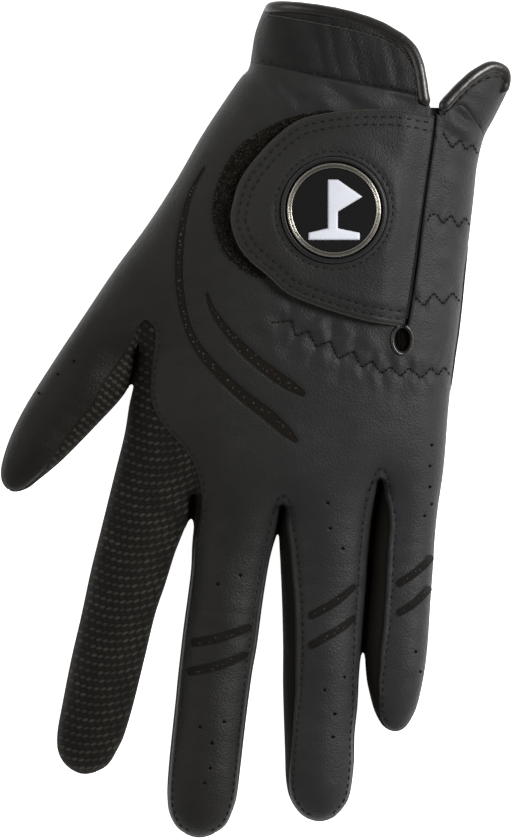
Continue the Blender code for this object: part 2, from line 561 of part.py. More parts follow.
# ---- side strips --------------------------------------------------------
def strip_solid(name, outer, rows, look, origin=(0, 0, 0)):
    """A side strip along the outer curve: full height at the silhouette, then, for a wide one, a leaf along the back only."""
    n = len(outer)
    cols = [outer] + [r[0] for r in rows]
    m = len(cols)
    tops = [back(c) for c in cols]
    lows = [under(cols[0])]
    for c, (_, deep) in zip(cols[1:], rows):
        lows.append(under(c) if deep else BACK_B(c))
    verts = []
    for c, z in zip(cols, tops):
        verts += [(x, y, h) for (x, y), h in zip(c, z)]
    for c, z in zip(cols, lows):
        verts += [(x, y, h) for (x, y), h in zip(c, z)]
    faces = []
    T = lambda j, i: j * n + i
    B = lambda j, i: (m + j) * n + i
    for i in range(n - 1):
        for j in range(m - 1):
            faces.append((T(j, i), T(j + 1, i), T(j + 1, i + 1), T(j, i + 1)))
            faces.append((B(j, i), B(j, i + 1), B(j + 1, i + 1), B(j + 1, i)))
        faces.append((T(0, i), T(0, i + 1), B(0, i + 1), B(0, i)))
        faces.append((T(m - 1, i), B(m - 1, i), B(m - 1, i + 1), T(m - 1, i + 1)))
    for j in range(m - 1):
        faces.append((T(j, 0), B(j, 0), B(j + 1, 0), T(j + 1, 0)))
        faces.append((T(j, n - 1), T(j + 1, n - 1), B(j + 1, n - 1), B(j, n - 1)))
    obj = add(name, verts, faces, look, origin)
    return obj


def outward(obj):
    """Turns the faces out if the body came out with negative volume."""
    mesh = obj.data
    v = np.array([tuple(p.co) for p in mesh.vertices])
    total = 0.0
    for p in mesh.polygons:
        q = v[list(p.vertices)]
        for k in range(1, len(q) - 1):
            total += np.dot(q[0], np.cross(q[k], q[k + 1]))
    if total < 0:
        mesh.flip_normals()
    return obj


INSIDE = SIDES


def strip_along(name, curve, wide, origin=(0, 0, 0), look="leather", flip=1.0, step=3.6, core=1.2):
    c = every(curve, step)
    wide_at = wide if callable(wide) else (lambda p: np.full(len(p), float(wide)))
    w = wide_at(c)
    outer = offset_curve(c, np.full(len(c), GAP), flip)
    rows = [(offset_curve(c, np.full(len(c), core), flip), True)]
    if w.max() > core + 0.6:
        rows.append((offset_curve(c, np.full(len(c), core + 0.25), flip), False))
        rows.append((offset_curve(c, w, flip), False))
    return outward(strip_solid(name, outer, rows, look, origin))


def crotch(f, g, wf, wg):
    """The curve down finger f's second side, round the crotch and up finger g's first side."""
    a = between(SIDE_B[f], None, hinge_line(f))[::-1]
    b = between(SIDE_A[g], None, hinge_line(g))
    return np.vstack([a, b])


def fade(target, f):
    """Width of a strip: narrow at the crotch, its full width further along finger f."""
    start = SIDE_A[f][0]

    def width(p):
        d = np.linalg.norm(p - start, axis=1)
        on = p[:, 0] - start[0]
        run = smooth((d - 3.0) / 9.0)
        k = nearest(p, SIDE_A[f], False)[0] < 0.2
        return np.where(k, 1.2 + (target - 1.2) * run, 1.2)

    return width


for f, g, target in (("index", "middle", 1.2), ("middle", "ring", 2.9), ("ring", "little", 4.1)):
    a = between(SIDE_B[f], None, hinge_line(f))[::-1]
    b = between(SIDE_A[g], None, hinge_line(g))
    a, b = a[1:-1], b[1:-1]
    a, b = every(a, 3.6), every(b, 3.6)
    ends = [a[-1], b[0]]
    curve = np.vstack([a, b])
    # the inner line fans round the crotch
    flat = np.array([0.0, 1.0])
    ta = np.gradient(a, axis=0)
    ta /= np.linalg.norm(ta, axis=1)[:, None]
    tb = np.gradient(b, axis=0)
    tb /= np.linalg.norm(tb, axis=1)[:, None]
    na, nb = np.stack([-ta[:, 1], ta[:, 0]], axis=1), np.stack([-tb[:, 1], tb[:, 0]], axis=1)
    mids = [na[-1] * 0.8 + flat * 0.6, flat, nb[0] * 0.8 + flat * 0.6]
    mids = np.array([m / np.linalg.norm(m) for m in mids])
    tip = 0.5 * (a[-1] + b[0])
    c = np.vstack([a, np.array([a[-1] * 0.75 + b[0] * 0.25, tip, a[-1] * 0.25 + b[0] * 0.75]) + [0, 0.25], b])
    n = np.vstack([na, mids, nb])
    run = np.concatenate([np.zeros(len(a) + 3), smooth((np.linalg.norm(b - b[0], axis=1) - 2.0) / 9.0)])
    w = 1.2 + (target - 1.2) * run
    outer = c + n * GAP
    rows = [(c + n * 1.2, True)]
    if target > 2:
        rows.append((c + n * (1.2 + 0.25 * run[:, None] + 0.02), False))
        rows.append((c + n * np.maximum(w, 1.24)[:, None], False))
    outward(strip_solid(f"fourchette_{f}_{g}", outer, rows, "leather"))

for f, key, side, flip, target in (("index", "inner", SIDE_B, -1.0, 1.2), ("middle", "outer", SIDE_A, 1.0, 1.2), ("middle", "inner", SIDE_B, -1.0, 1.2), ("ring", "outer", SIDE_A, 1.0, 2.9), ("ring", "inner", SIDE_B, -1.0, 1.2), ("little", "outer", SIDE_A, 1.0, 4.1)):
    c = between(side[f], hinge_line(f), None)
    tip = np.array(TIP_AT[f])
    c = c[(np.linalg.norm(c - tip, axis=1) > TIP_CLEAR + 5.2)]
    c = c[1:]
    strip_along(f"gusset_{f}_{key}", c, target, FLEX[f], flip=flip)

# ---- flex bars ----------------------------------------------------------
BAR_ON = {"bar_middle_upper": "middle", "bar_middle_lower": "middle", "bar_ring_upper": "ring", "bar_ring_lower": "ring", "bar_little_upper": "little", "bar_little_lower": "little"}
BAR_T, BAR_B = back_shell(0.6, 0.9)
for name, spine in BARS.items():
    f = BAR_ON[name]
    origin = FLEX[f]
    shell(name, ribbon(spine, 3.0), (BAR_T, BAR_B), "leather", 9.0, origin=origin)

# ---- back of the hand ---------------------------------------------------
left_side = SIDE_A["thumb"]
band = every(spline(BAND_SEAM, 0.5), 4.5)
slit = every(spline(SLIT, 0.5), 5.0)
slit_left, slit_right = slit - [0.75, 0], slit + [0.75, 0]
angles = np.radians(np.arange(60, -241, -30))
key_ring = np.stack([KEYHOLE[0] + 2.8 * np.cos(angles), KEYHOLE[1] + 3.8 * np.sin(angles)], axis=1)
flap = every(spline(FLAP_SEAM, 0.5), 4.5)
mesh_edge = every(spline(MESH_EDGE, 0.5), 4.0)
right_side = SIDE_B["little"][::-1]  # from the tip towards the cuff


def from_to(curve, start, stop):
    i = int(np.linalg.norm(curve - np.array(start), axis=1).argmin())
    j = int(np.linalg.norm(curve - np.array(stop), axis=1).argmin())
    return curve[i:j + 1] if i <= j else curve[j:i + 1][::-1]


def line(a, b, step=5.0):
    return every(np.array([a, b], float), step)


base_t, base_m, base_r, base_l = BASE["thumb"], BASE["middle"], BASE["ring"], BASE["little"]
thumb_cut_out = cut(base_t[0], base_t[1], SIDE_A["thumb"])[1]
thumb_cut_seam = cut(base_t[0], base_t[1], seam)[1]
little_cut_out = cut(base_l[0], base_l[1], SIDE_B["little"])[1]
band_left = from_to(SIDE_A["thumb"], (-0.3, 104.2), BAND_SEAM[0])[-1]
crotch_mr, crotch_rl, crotch_im = np.array([7.3, -22.2]), np.array([33.6, -15.4]), np.array([-16.8, -18.9])
hand_outline = joined(
    every(from_to(left_side, band_left, thumb_cut_out), 5.0),
    line(thumb_cut_out, thumb_cut_seam)[1:],
    every(from_to(seam, thumb_cut_seam, THUMB_LEATHER[0]), 4.0),
    [VALLEY_TOP], mesh_edge, line(crotch_im + [1.6, -1.6], crotch_mr + [-1.6, -1.2]), [crotch_mr],
    line(crotch_mr + [1.6, -1.0], crotch_rl + [-1.6, -1.0]), [crotch_rl], line(crotch_rl + [1.6, -0.8], little_cut_out),
    every(from_to(right_side, little_cut_out, FLAP_SEAM[-1]), 5.0), flap[::-1], slit_right[1:],
    key_ring, slit_left[::-1][:-1], band[::-1])
holes = [inset(ribbon(FLEX_LONG, 5.0, 0.3), -0.05), inset(ribbon(FLEX_SHORT, 4.0, 0.3), -0.05)]
shell("back_panel", inset(hand_outline, GAP), (BACK_T, BACK_B), "leather", 8.0, holes=holes)
FLEX_T, FLEX_B = back_shell(0.6, -0.15)
shell("flex_insert_long", ribbon(FLEX_LONG, 5.0, -0.05), (FLEX_T, FLEX_B), "knit", 9.0)
shell("flex_insert_short", ribbon(FLEX_SHORT, 4.0, -0.05), (FLEX_T, FLEX_B), "knit", 9.0)

# knit web on the index side of the thumb crotch
index_cut = cut(BASE["index"][0], BASE["index"][1], SIDE_A["index"])[1]
index_side = from_to(SIDE_A["index"], SIDE_A["index"][0], index_cut)
web_outline = joined(
    [VALLEY_TOP], [(-31.2, 22.1)], every(index_side, 4.0), line(index_cut, (-18.7, -19.81)), [crotch_im + [-0.1, 0.1]], mesh_edge[::-1])
shell("web_mesh", inset(web_outline, GAP), (BACK_T, BACK_B), "knit", 6.0)

# ---- cuff ---------------------------------------------------------------
cuff = spline(CUFF, 0.5)
low, high = (47.8, 83.2), (5.7, 112.9)
cuff_top = from_to(cuff, (46.3, 88.4), high)
flap_top = from_to(cuff, (68.0, 95.3), (49.9, 85.9))
cuff_in = offset_curve(cuff_top, np.full(len(cuff_top), 2.6), 1.0)
cuff_band_outline = joined(band[:-1], every(cuff_in, 4.5), every(from_to(left_side, (2.7, 112.3), band_left), 4.0)[1:])
shell("cuff_band", inset(cuff_band_outline, GAP), (BACK_T, BACK_B), "leather", 6.5)
flap_in = offset_curve(flap_top, np.full(len(flap_top), 2.6), 1.0)
flap_side = from_to(right_side, FLAP_SEAM[-1], (68.6, 91.2))
flap_outline = joined(flap, every(flap_side, 4.0)[1:], every(flap_in, 4.0)[1:])
shell("flap_band", inset(flap_outline, GAP), (BACK_T, BACK_B), "leather", 5.5)
PIPE = 1.05


def piped(name, curve, lift=-0.45, step=4.0, rise=back):
    c = every(curve, step)
    z = rise(c) + lift
    tube(name, np.column_stack([c, z]), PIPE, "piping", 8)


piped("cuff_binding", offset_curve(cuff_top, np.full(len(cuff_top), 1.2), 1.0))
piped("flap_binding", offset_curve(flap_top, np.full(len(flap_top), 1.2), 1.0)[2:-2])
palm_edge = spline(PALM_EDGE, 0.5)
palm_rim = every(offset_curve(palm_edge, np.full(len(palm_edge), 0.0), 1.0), 5.0)
tube("palm_binding", np.column_stack([palm_rim, under(palm_rim) + PIPE + 0.02]), PIPE, "piping", 8)
ring_outer = np.stack([KEYHOLE[0] + 2.55 * np.cos(np.radians(np.arange(68, -249, -20))), KEYHOLE[1] + 3.5 * np.sin(np.radians(np.arange(68, -249, -20)))], axis=1)
tube("keyhole_binding", np.column_stack([ring_outer * 1.0 + 0.0, back(ring_outer) + 0.75]), 0.45, "piping", 6)

# ---- palm ---------------------------------------------------------------
palm_in = offset_curve(palm_edge, np.full(len(palm_edge), 1.5), 1.0)
crotch_ti = np.array([-31.6, 17.2])
tb, ib = BASE["thumb"], BASE["index"]
thumb_b_cut = cut(tb[0], tb[1], SIDE_B["thumb"])[1]
palm_outline = joined(
    every(from_to(left_side, (2.0, 109.5), thumb_cut_out), 5.0), line(thumb_cut_out, thumb_b_cut),
    every(from_to(SIDE_B["thumb"], thumb_b_cut, SIDE_B["thumb"][0]), 3.0)[1:], every(index_side, 4.0),
    line(index_cut, (-18.7, -19.81)), [crotch_im], line(crotch_im + [1.6, -1.6], crotch_mr + [-1.6, -1.2]), [crotch_mr],
    line(crotch_mr + [1.6, -1.0], crotch_rl + [-1.6, -1.0]), [crotch_rl], line(crotch_rl + [1.6, -0.8], little_cut_out),
    every(from_to(right_side, little_cut_out, (67.0, 90.4)), 5.0), every(palm_in[3:-3], 5.0))
shell("palm_panel", inset(palm_outline, GAP), (PALM_T, PALM_B), "palm_leather", 8.0, sparse=lambda p: sides_only(p) | (np.round(p[:, 1] / 6.93).astype(int) % 4 == 0))

# ---- elastic under the gathers ------------------------------------------
EL_T, EL_B = (lambda p: BACK_B(p) - 0.6), (lambda p: BACK_B(p) - 1.2)
KNUCKLE = [(3.5, 23.4, 4.0), (12.0, 21.2, 4.0), (22.0, 17.4, 4.0), (31.0, 12.7, 4.0), (39.0, 9.6, 4.0), (44.0, 9.8, 4.0)]
shell("elastic_knuckle", ribbon(KNUCKLE, 5.0), (EL_T, EL_B), "elastic", 9.0)
SIDE_STRIP = [(53.4, 73.5, 5.0), (52.5, 62.0, 5.0), (51.4, 50.0, 5.0), (50.2, 38.0, 5.0), (49.0, 29.0, 5.0)]
shell("elastic_side", ribbon(SIDE_STRIP, 5.0), (lambda p: BACK_B(p) - 0.9, lambda p: BACK_B(p) - 1.5), "elastic", 9.0)
WRIST = [(5.5, 99.3, 4.5), (14.0, 98.0, 4.5), (24.0, 96.2, 4.5), (33.0, 94.5, 4.5), (40.0, 93.1, 4.5)]
shell("elastic_wrist", ribbon(WRIST, 5.0), (EL_T, EL_B), "elastic", 9.0)

# ---- closure ------------------------------------------------------------
PAD_T = (lambda p: back(p) + 1.1, lambda p: back(p) + 0.3)
shell("loop_pad", every(np.vstack([spline(PAD, 0.5), [PAD[0]]]), 5.0)[:-1], PAD_T, "loops", 8.0)
AXIS_A, AXIS_B = np.array([40.9, 26.0]), np.array([48.9, 82.4])
hinge_dir = (AXIS_B - AXIS_A) / np.linalg.norm(AXIS_B - AXIS_A)
hinge_z = float(back(np.array([(AXIS_A + AXIS_B) / 2]))[0]) + 0.4
TAB_AT = (float((AXIS_A + AXIS_B)[0] / 2), float((AXIS_A + AXIS_B)[1] / 2), hinge_z)


def reach(p):
    """Distance from the tab's hinge, towards its free end."""
    return (p - AXIS_A) @ np.array([-hinge_dir[1], hinge_dir[0]])


def flattened(p):
    """Back height, levelled under the marker so that its socket sits true."""
    r = np.linalg.norm(p - np.array(MARKER), axis=1)
    k = 1 - smooth((r - FLAT_R) / 7.0)
    return back(p) * (1 - k) + (FLAT_Z + 0.7) * k


def tab_low(p):
    return flattened(p) + 0.75 + 1.75 * smooth((reach(p) - 1.0) / 8.0)


def tab_high(p):
    return tab_low(p) + 0.7 + 0.6 * smooth((reach(p) - 0.5) / 6.0)


hole = np.stack([MARKER[0] + HOLE_R * np.cos(np.radians(np.arange(0, 360, 12))), MARKER[1] + HOLE_R * np.sin(np.radians(np.arange(0, 360, 12)))], axis=1)
tab_curve = spline(TAB, 0.5)
tab_outline = every(tab_curve, 4.5)
edge_line = line(AXIS_A + [-1.3, 0.2], AXIS_B + [-1.3, -1.2], 5.0)
tab_outline = joined(tab_outline[tab_outline @ np.array([1.0, 0]) < 1e9], edge_line)
shell("tab_leather", tab_outline, (tab_high, tab_low), "leather", 6.5, holes=[hole], origin=TAB_AT)
HOOK = [(17.0, 79.0), (9.0, 76.5), (3.0, 71.0), (-1.5, 64.0), (-3.6, 56.0), (-2.5, 49.0), (2.0, 43.5), (8.5, 38.8), (17.0, 35.4), (25.0, 34.5), (30.0, 40.0), (31.0, 52.0), (31.0, 66.0), (27.5, 77.0)]
hook = every(np.vstack([spline(HOOK, 0.5), [HOOK[0]]]), 5.0)[:-1]
hook_hole = np.stack([MARKER[0] + 15.2 * np.cos(np.radians(np.arange(0, 360, 15))), MARKER[1] + 15.2 * np.sin(np.radians(np.arange(0, 360, 15)))], axis=1)
hook_in = hook
shell("tab_hook_pad", hook_in, (lambda p: tab_low(p) - 0.4, lambda p: tab_low(p) - 1.1), "loops", 7.0, origin=TAB_AT)
BOTTOM = FLAT_Z + 0.7 + 0.75 + 1.75
lathe("marker_socket", [(0, BOTTOM), (SOCKET_R, BOTTOM), (SOCKET_R, BOTTOM + 2.1), (SOCKET_R - 0.4, BOTTOM + 2.3), (MARKER_R + 0.35, BOTTOM + 2.3), (MARKER_R + 0.35, BOTTOM + 0.6), (5.3, BOTTOM + 0.6), (5.3, BOTTOM + 0.4), (0, BOTTOM + 0.4)], MARKER, "socket", 40, TAB_AT)
lathe("socket_magnet", [(0, BOTTOM + 0.62), (5.0, BOTTOM + 0.62), (5.0, BOTTOM + 0.9), (0, BOTTOM + 0.9)], MARKER, "metal", 24, TAB_AT)
BASE_Z = BOTTOM + 1.1
MARK_AT = (MARKER[0], MARKER[1], BASE_Z)
lathe("marker_rim", [(MARKER_R - 1.45, BASE_Z), (MARKER_R - 0.2, BASE_Z), (MARKER_R, BASE_Z + 0.3), (MARKER_R, BASE_Z + 1.5), (MARKER_R - 0.5, BASE_Z + 1.9), (MARKER_R - 1.2, BASE_Z + 1.8), (MARKER_R - 1.45, BASE_Z + 1.4)], MARKER, "metal", 48, MARK_AT)
lathe("marker_disc", [(0, BASE_Z), (MARKER_R - 1.75, BASE_Z), (MARKER_R - 1.75, BASE_Z + 1.35), (0, BASE_Z + 1.35)], MARKER, "enamel", 48, MARK_AT)
# plain raised flag on a stick, standing on a low mound
mx, my = MARKER
flag = np.array([(-1.2, -6.0), (-6.2, -6.6), (-6.2, -7.6), (6.2, -7.6), (6.2, -6.6), (0.2, -5.6), (0.2, 0.6), (6.6, 3.6), (0.2, 7.6), (-1.2, 7.6)]) + [mx, my]
shell("marker_emblem", flag, (lambda p: BASE_Z + 2.0 + 0 * p[:, 0], lambda p: BASE_Z + 1.65 + 0 * p[:, 0]), "white", 30.0, origin=MARK_AT)
for obj in bpy.data.objects:
    outward(obj)
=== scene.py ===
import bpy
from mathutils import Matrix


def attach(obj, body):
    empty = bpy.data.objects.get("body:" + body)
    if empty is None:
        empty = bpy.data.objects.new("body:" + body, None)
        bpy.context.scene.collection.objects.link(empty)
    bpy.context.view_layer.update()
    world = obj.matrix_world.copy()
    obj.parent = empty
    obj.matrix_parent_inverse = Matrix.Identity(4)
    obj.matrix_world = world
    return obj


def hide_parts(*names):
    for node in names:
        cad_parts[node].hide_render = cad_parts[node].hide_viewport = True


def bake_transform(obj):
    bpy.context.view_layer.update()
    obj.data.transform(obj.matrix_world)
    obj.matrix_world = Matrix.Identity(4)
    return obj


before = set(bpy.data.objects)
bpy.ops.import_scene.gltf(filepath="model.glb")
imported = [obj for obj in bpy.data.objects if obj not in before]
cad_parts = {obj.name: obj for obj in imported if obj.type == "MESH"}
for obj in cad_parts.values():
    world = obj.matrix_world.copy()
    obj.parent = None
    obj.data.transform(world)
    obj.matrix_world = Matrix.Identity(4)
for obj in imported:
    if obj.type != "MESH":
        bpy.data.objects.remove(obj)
"""Fine fabric and leather surface of a left-hand golf glove, laid over the CAD frame, with stitching, knit, camera and light."""
import math
import random

import bpy
import numpy as np
from mathutils import Vector
from mathutils.geometry import delaunay_2d_cdt
from mathutils.kdtree import KDTree

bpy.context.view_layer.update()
FINE = 0.85  # spacing of the surface points, in millimetres
random.seed(7)
RNG = np.random.default_rng(7)

# ---- the glove's shape, in millimetres ------------------------------------
Z_MID = 5.5  # height of the seam plane between back and palm
LOFT = 1.118  # how much the back puffs up
RELAX = 14.0  # distance over which the puff levels out
LEATHER = 0.85
EDGE = 1.5  # band along the silhouette where the rounding is exact
MARKER = (21.0, 56.4)
KEYHOLE = (39.4, 21.6)
MARKER_R = 12.7
SOCKET_R = 14.3
HOLE_R = 14.6
FLAT_R = 15.5

# ---- outline of the flat glove, going round from the cuff corner by the thumb --------
LEFT = [(2.7, 112.3), (1.1, 108.5), (-0.3, 104.2), (-1.1, 99.4), (-1.9, 95.0), (-4.1, 92.6), (-8.1, 86.9), (-14.6, 77.0), (-21.6, 64.8), (-29.4, 52.7), (-38.3, 40.5)]
THUMB = [(-46.4, 28.4), (-54.5, 16.2), (-62.1, 4.1), (-66.2, -4.1), (-68.6, -11.3), (-68.9, -15.7), (-67.5, -18.4), (-65.1, -19.4), (-61.8, -18.4), (-58.9, -16.2), (-54.0, -12.2), (-49.7, -8.1), (-41.9, 0.0), (-36.7, 5.7), (-34.3, 9.5), (-32.9, 14.0), (-32.3, 18.4)]
INDEX = [(-31.8, 18.4), (-32.3, 14.0), (-33.1, 9.2), (-34.3, 3.8), (-35.6, -4.1), (-38.6, -16.2), (-41.6, -28.4), (-44.6, -40.5), (-47.2, -52.7), (-50.0, -64.8), (-52.4, -77.0), (-53.7, -84.5), (-53.5, -89.6), (-51.3, -93.4), (-47.5, -95.6), (-43.7, -95.3), (-40.0, -93.2), (-37.3, -88.8), (-35.6, -85.1), (-33.2, -77.0), (-30.2, -64.8), (-27.3, -52.7), (-24.6, -44.6), (-22.1, -36.5), (-20.2, -31.6), (-18.6, -27.5), (-17.7, -23.8), (-17.1, -20.4)]
MIDDLE = [(-16.6, -20.4), (-16.6, -23.8), (-16.8, -28.4), (-17.3, -33.8), (-17.6, -40.5), (-18.6, -48.6), (-19.7, -56.7), (-21.1, -68.9), (-21.9, -77.0), (-23.2, -89.1), (-23.9, -97.2), (-24.0, -101.8), (-23.5, -106.1), (-21.6, -109.9), (-18.6, -112.1), (-15.1, -112.9), (-11.3, -111.8), (-8.1, -109.4), (-6.2, -105.3), (-5.1, -101.2), (-4.1, -93.2), (-2.7, -81.0), (-1.1, -68.9), (0.3, -60.8), (1.9, -48.6), (3.6, -38.3), (5.1, -32.4), (6.2, -27.5), (7.0, -23.7)]
RING = [(7.6, -23.7), (6.8, -27.5), (6.3, -32.4), (6.6, -39.2), (7.0, -48.6), (7.3, -60.8), (7.3, -72.9), (7.8, -89.1), (8.1, -97.2), (9.2, -102.3), (11.9, -106.4), (14.9, -108.1), (17.8, -108.5), (20.8, -107.5), (23.5, -105.0), (25.4, -101.2), (26.5, -93.2), (26.7, -85.1), (27.5, -77.0), (27.9, -68.9), (28.5, -62.1), (29.1, -54.0), (29.8, -45.9), (30.3, -37.8), (31.0, -29.7), (32.0, -23.0), (33.3, -16.9)]
LITTLE = [(33.9, -16.9), (32.9, -23.0), (32.0, -29.7), (31.3, -37.8), (30.8, -45.9), (30.1, -54.0), (29.5, -62.1), (29.8, -68.9), (30.6, -73.4), (32.1, -78.8), (34.3, -82.6), (37.3, -84.2), (40.0, -83.4), (42.1, -80.5), (43.7, -76.7), (45.4, -68.9), (46.4, -60.8), (47.2, -48.6), (47.9, -39.2), (48.3, -32.4), (49.1, -24.3)]
RIGHT = [(50.8, -12.2), (52.1, 4.1), (53.5, 16.2), (54.7, 24.3), (55.6, 32.4), (56.4, 40.5), (57.5, 48.6), (58.9, 60.8), (59.8, 68.9), (61.6, 76.4), (64.0, 81.0), (66.2, 85.3), (68.0, 89.1), (68.9, 92.6)]
CUFF = [(68.0, 95.3), (65.9, 96.5), (63.2, 96.7), (60.5, 95.6), (57.0, 93.2), (52.7, 89.1), (49.4, 85.3), (47.8, 83.2), (47.0, 84.8), (46.4, 88.0), (45.9, 91.8), (45.1, 95.9), (43.5, 99.9), (41.0, 102.9), (37.5, 105.3), (32.9, 107.7), (25.4, 110.2), (17.3, 111.8), (10.5, 112.7), (5.7, 112.9)]
PALM_EDGE = [(67.2, 92.2), (63.0, 91.0), (57.0, 86.5), (50.5, 81.0), (44.0, 80.0), (38.0, 86.0), (31.0, 95.0), (22.0, 103.0), (12.0, 108.5), (4.0, 110.6)]
BEYOND = [(75.0, 100.0), (72.0, 130.0), (0.0, 135.0), (1.0, 118.0)]  # keeps the cuff standing open
BAND_SEAM = [(0.2, 96.4), (6.0, 95.3), (14.6, 93.2), (24.0, 91.2), (35.6, 89.0), (42.7, 87.5), (46.2, 86.4)]
FLAP_SEAM = [(49.6, 82.2), (54.8, 85.2), (57.8, 83.0), (60.9, 78.7), (61.5, 76.8)]
MESH_EDGE = [(-28.6, 26.3), (-27.3, 24.6), (-27.1, 21.1), (-27.8, 16.7), (-28.4, 12.2), (-28.5, 6.8), (-27.5, 3.0), (-24.8, -1.6), (-21.6, -5.1), (-18.4, -8.9), (-16.2, -13.0), (-15.4, -16.2), (-15.9, -19.6)]
VALLEY_TOP = (-30.2, 26.3)
THUMB_LEATHER = [(-31.9, 24.6), (-32.9, 22.1), (-35.4, 17.8), (-38.1, 13.8), (-41.6, 8.9), (-44.0, 3.8), (-46.7, 0.8), (-50.0, -3.5), (-54.3, -9.2), (-57.5, -13.8), (-60.5, -16.6)]
SLIT = [(47.8, 83.2), (47.0, 75.6), (45.4, 64.8), (44.0, 54.0), (42.7, 42.7), (41.0, 31.1), (40.0, 25.7)]
TAB = [(48.3, 81.6), (38.1, 83.2), (28.6, 83.2), (21.1, 82.6), (12.2, 80.7), (5.9, 76.4), (0.7, 71.0), (-3.8, 64.8), (-5.9, 58.6), (-6.5, 53.3), (-4.6, 47.2), (-1.1, 42.7), (3.2, 39.1), (8.6, 34.3), (15.7, 31.2), (23.6, 28.6), (30.8, 26.7), (39.2, 25.4)]
PAD = [(19.2, 83.5), (8.6, 81.3), (1.6, 78.0), (-3.8, 74.5), (-7.3, 70.2), (-10.4, 64.0), (-11.6, 58.6), (-11.3, 52.4), (-9.0, 46.2), (-5.5, 41.8), (0.7, 38.3), (10.0, 37.2), (20.0, 36.5), (29.0, 38.0), (31.5, 50.0), (32.0, 64.0), (30.0, 76.0), (26.0, 82.0)]
FLEX_LONG = [(-14.0, 68.0, 0.8), (-17.3, 61.8, 1.4), (-19.3, 55.1, 2.0), (-20.5, 47.2, 2.4), (-20.8, 39.2, 2.4), (-20.0, 31.3, 2.4), (-18.1, 24.3, 2.4), (-14.9, 18.4, 2.7), (-9.2, 11.9, 3.0), (-3.0, 6.2, 3.2), (3.2, 1.4, 3.4), (7.8, -2.7, 3.0), (10.5, -5.4, 1.6)]
FLEX_SHORT = [(-13.2, 33.8, 1.1), (-11.6, 29.4, 1.8), (-8.1, 24.3, 2.3), (-3.2, 18.9, 2.9), (2.7, 13.8, 3.1), (8.6, 9.7, 3.0), (12.4, 7.3, 1.9)]
BARS = {
    "bar_middle_upper": [(-16.6, -60.1, 2.2), (-9.2, -58.6, 2.3), (-2.2, -56.1, 2.0)],
    "bar_middle_lower": [(-17.6, -67.9, 2.2), (-10.3, -66.3, 2.3), (-3.2, -63.6, 2.0)],
    "bar_ring_upper": [(15.0, -52.7, 1.9), (19.7, -50.2, 2.0), (23.2, -47.8, 1.9), (26.3, -45.1, 1.5)],
    "bar_ring_lower": [(15.0, -60.8, 1.9), (19.7, -58.1, 2.0), (23.5, -55.8, 1.9), (26.2, -53.6, 1.5)],
    "bar_little_upper": [(38.7, -44.1, 1.8), (42.2, -41.8, 1.9), (45.4, -39.2, 2.0), (47.0, -37.4, 1.9)],
    "bar_little_lower": [(38.7, -52.0, 1.8), (42.2, -49.9, 1.9), (45.0, -47.4, 2.0), (46.5, -45.7, 1.9)],
}
FLEX = {"thumb": (-52.9, 1.2, 0.0), "index": (-37.5, -53.5, 0.0), "middle": (-9.4, -54.0, 0.0), "ring": (18.1, -41.5, 0.0), "little": (39.4, -35.6, 0.0)}
FLEX_AXIS = {"thumb": (0.841, -0.541), "index": (0.972, -0.237), "middle": (0.992, -0.122), "ring": (0.999, -0.04), "little": (0.999, -0.04)}


# ---- curves ----------------------------------------------------------------
def spline(points, step):
    """A Catmull-Rom curve through the points, sampled about every step."""
    p = np.array(points, float)
    ext = np.vstack([2 * p[0] - p[1], p, 2 * p[-1] - p[-2]])
    out = []
    for i in range(1, len(ext) - 2):
        n = max(1, int(round(np.linalg.norm(ext[i + 1][:2] - ext[i][:2]) / step)))
        for k in range(n):
            t = k / n
            a, b, c, d = ext[i - 1], ext[i], ext[i + 1], ext[i + 2]
            out.append(0.5 * (2 * b + (c - a) * t + (2 * a - 5 * b + 4 * c - d) * t * t + (3 * b - a - 3 * c + d) * t**3))
    out.append(ext[-2])
    return np.array(out)


def arc(curve):
    return np.concatenate([[0], np.cumsum(np.linalg.norm(np.diff(curve[:, :2], axis=0), axis=1))])


def every(curve, step):
    curve = np.asarray(curve, float)
    s = arc(curve)
    n = max(1, int(round(s[-1] / step)))
    t = np.linspace(0, s[-1], n + 1)
    return np.stack([np.interp(t, s, curve[:, k]) for k in range(curve.shape[1])], axis=1)


def line(a, b, step=None):
    return every(np.array([a, b], float), step or FINE)


def inside(points, poly):
    out = np.zeros(len(points), bool)
    a, b = poly, np.roll(poly, -1, axis=0)
    dy = np.where(b[:, 1] == a[:, 1], 1e-12, b[:, 1] - a[:, 1])
    for s in range(0, len(points), 3000):
        x, y = points[s:s + 3000, 0][:, None], points[s:s + 3000, 1][:, None]
        cross = (a[:, 1] > y) != (b[:, 1] > y)
        at = (b[:, 0] - a[:, 0]) * (y - a[:, 1]) / dy + a[:, 0]
        out[s:s + 3000] = (cross & (x < at)).sum(axis=1) % 2 == 1
    return out


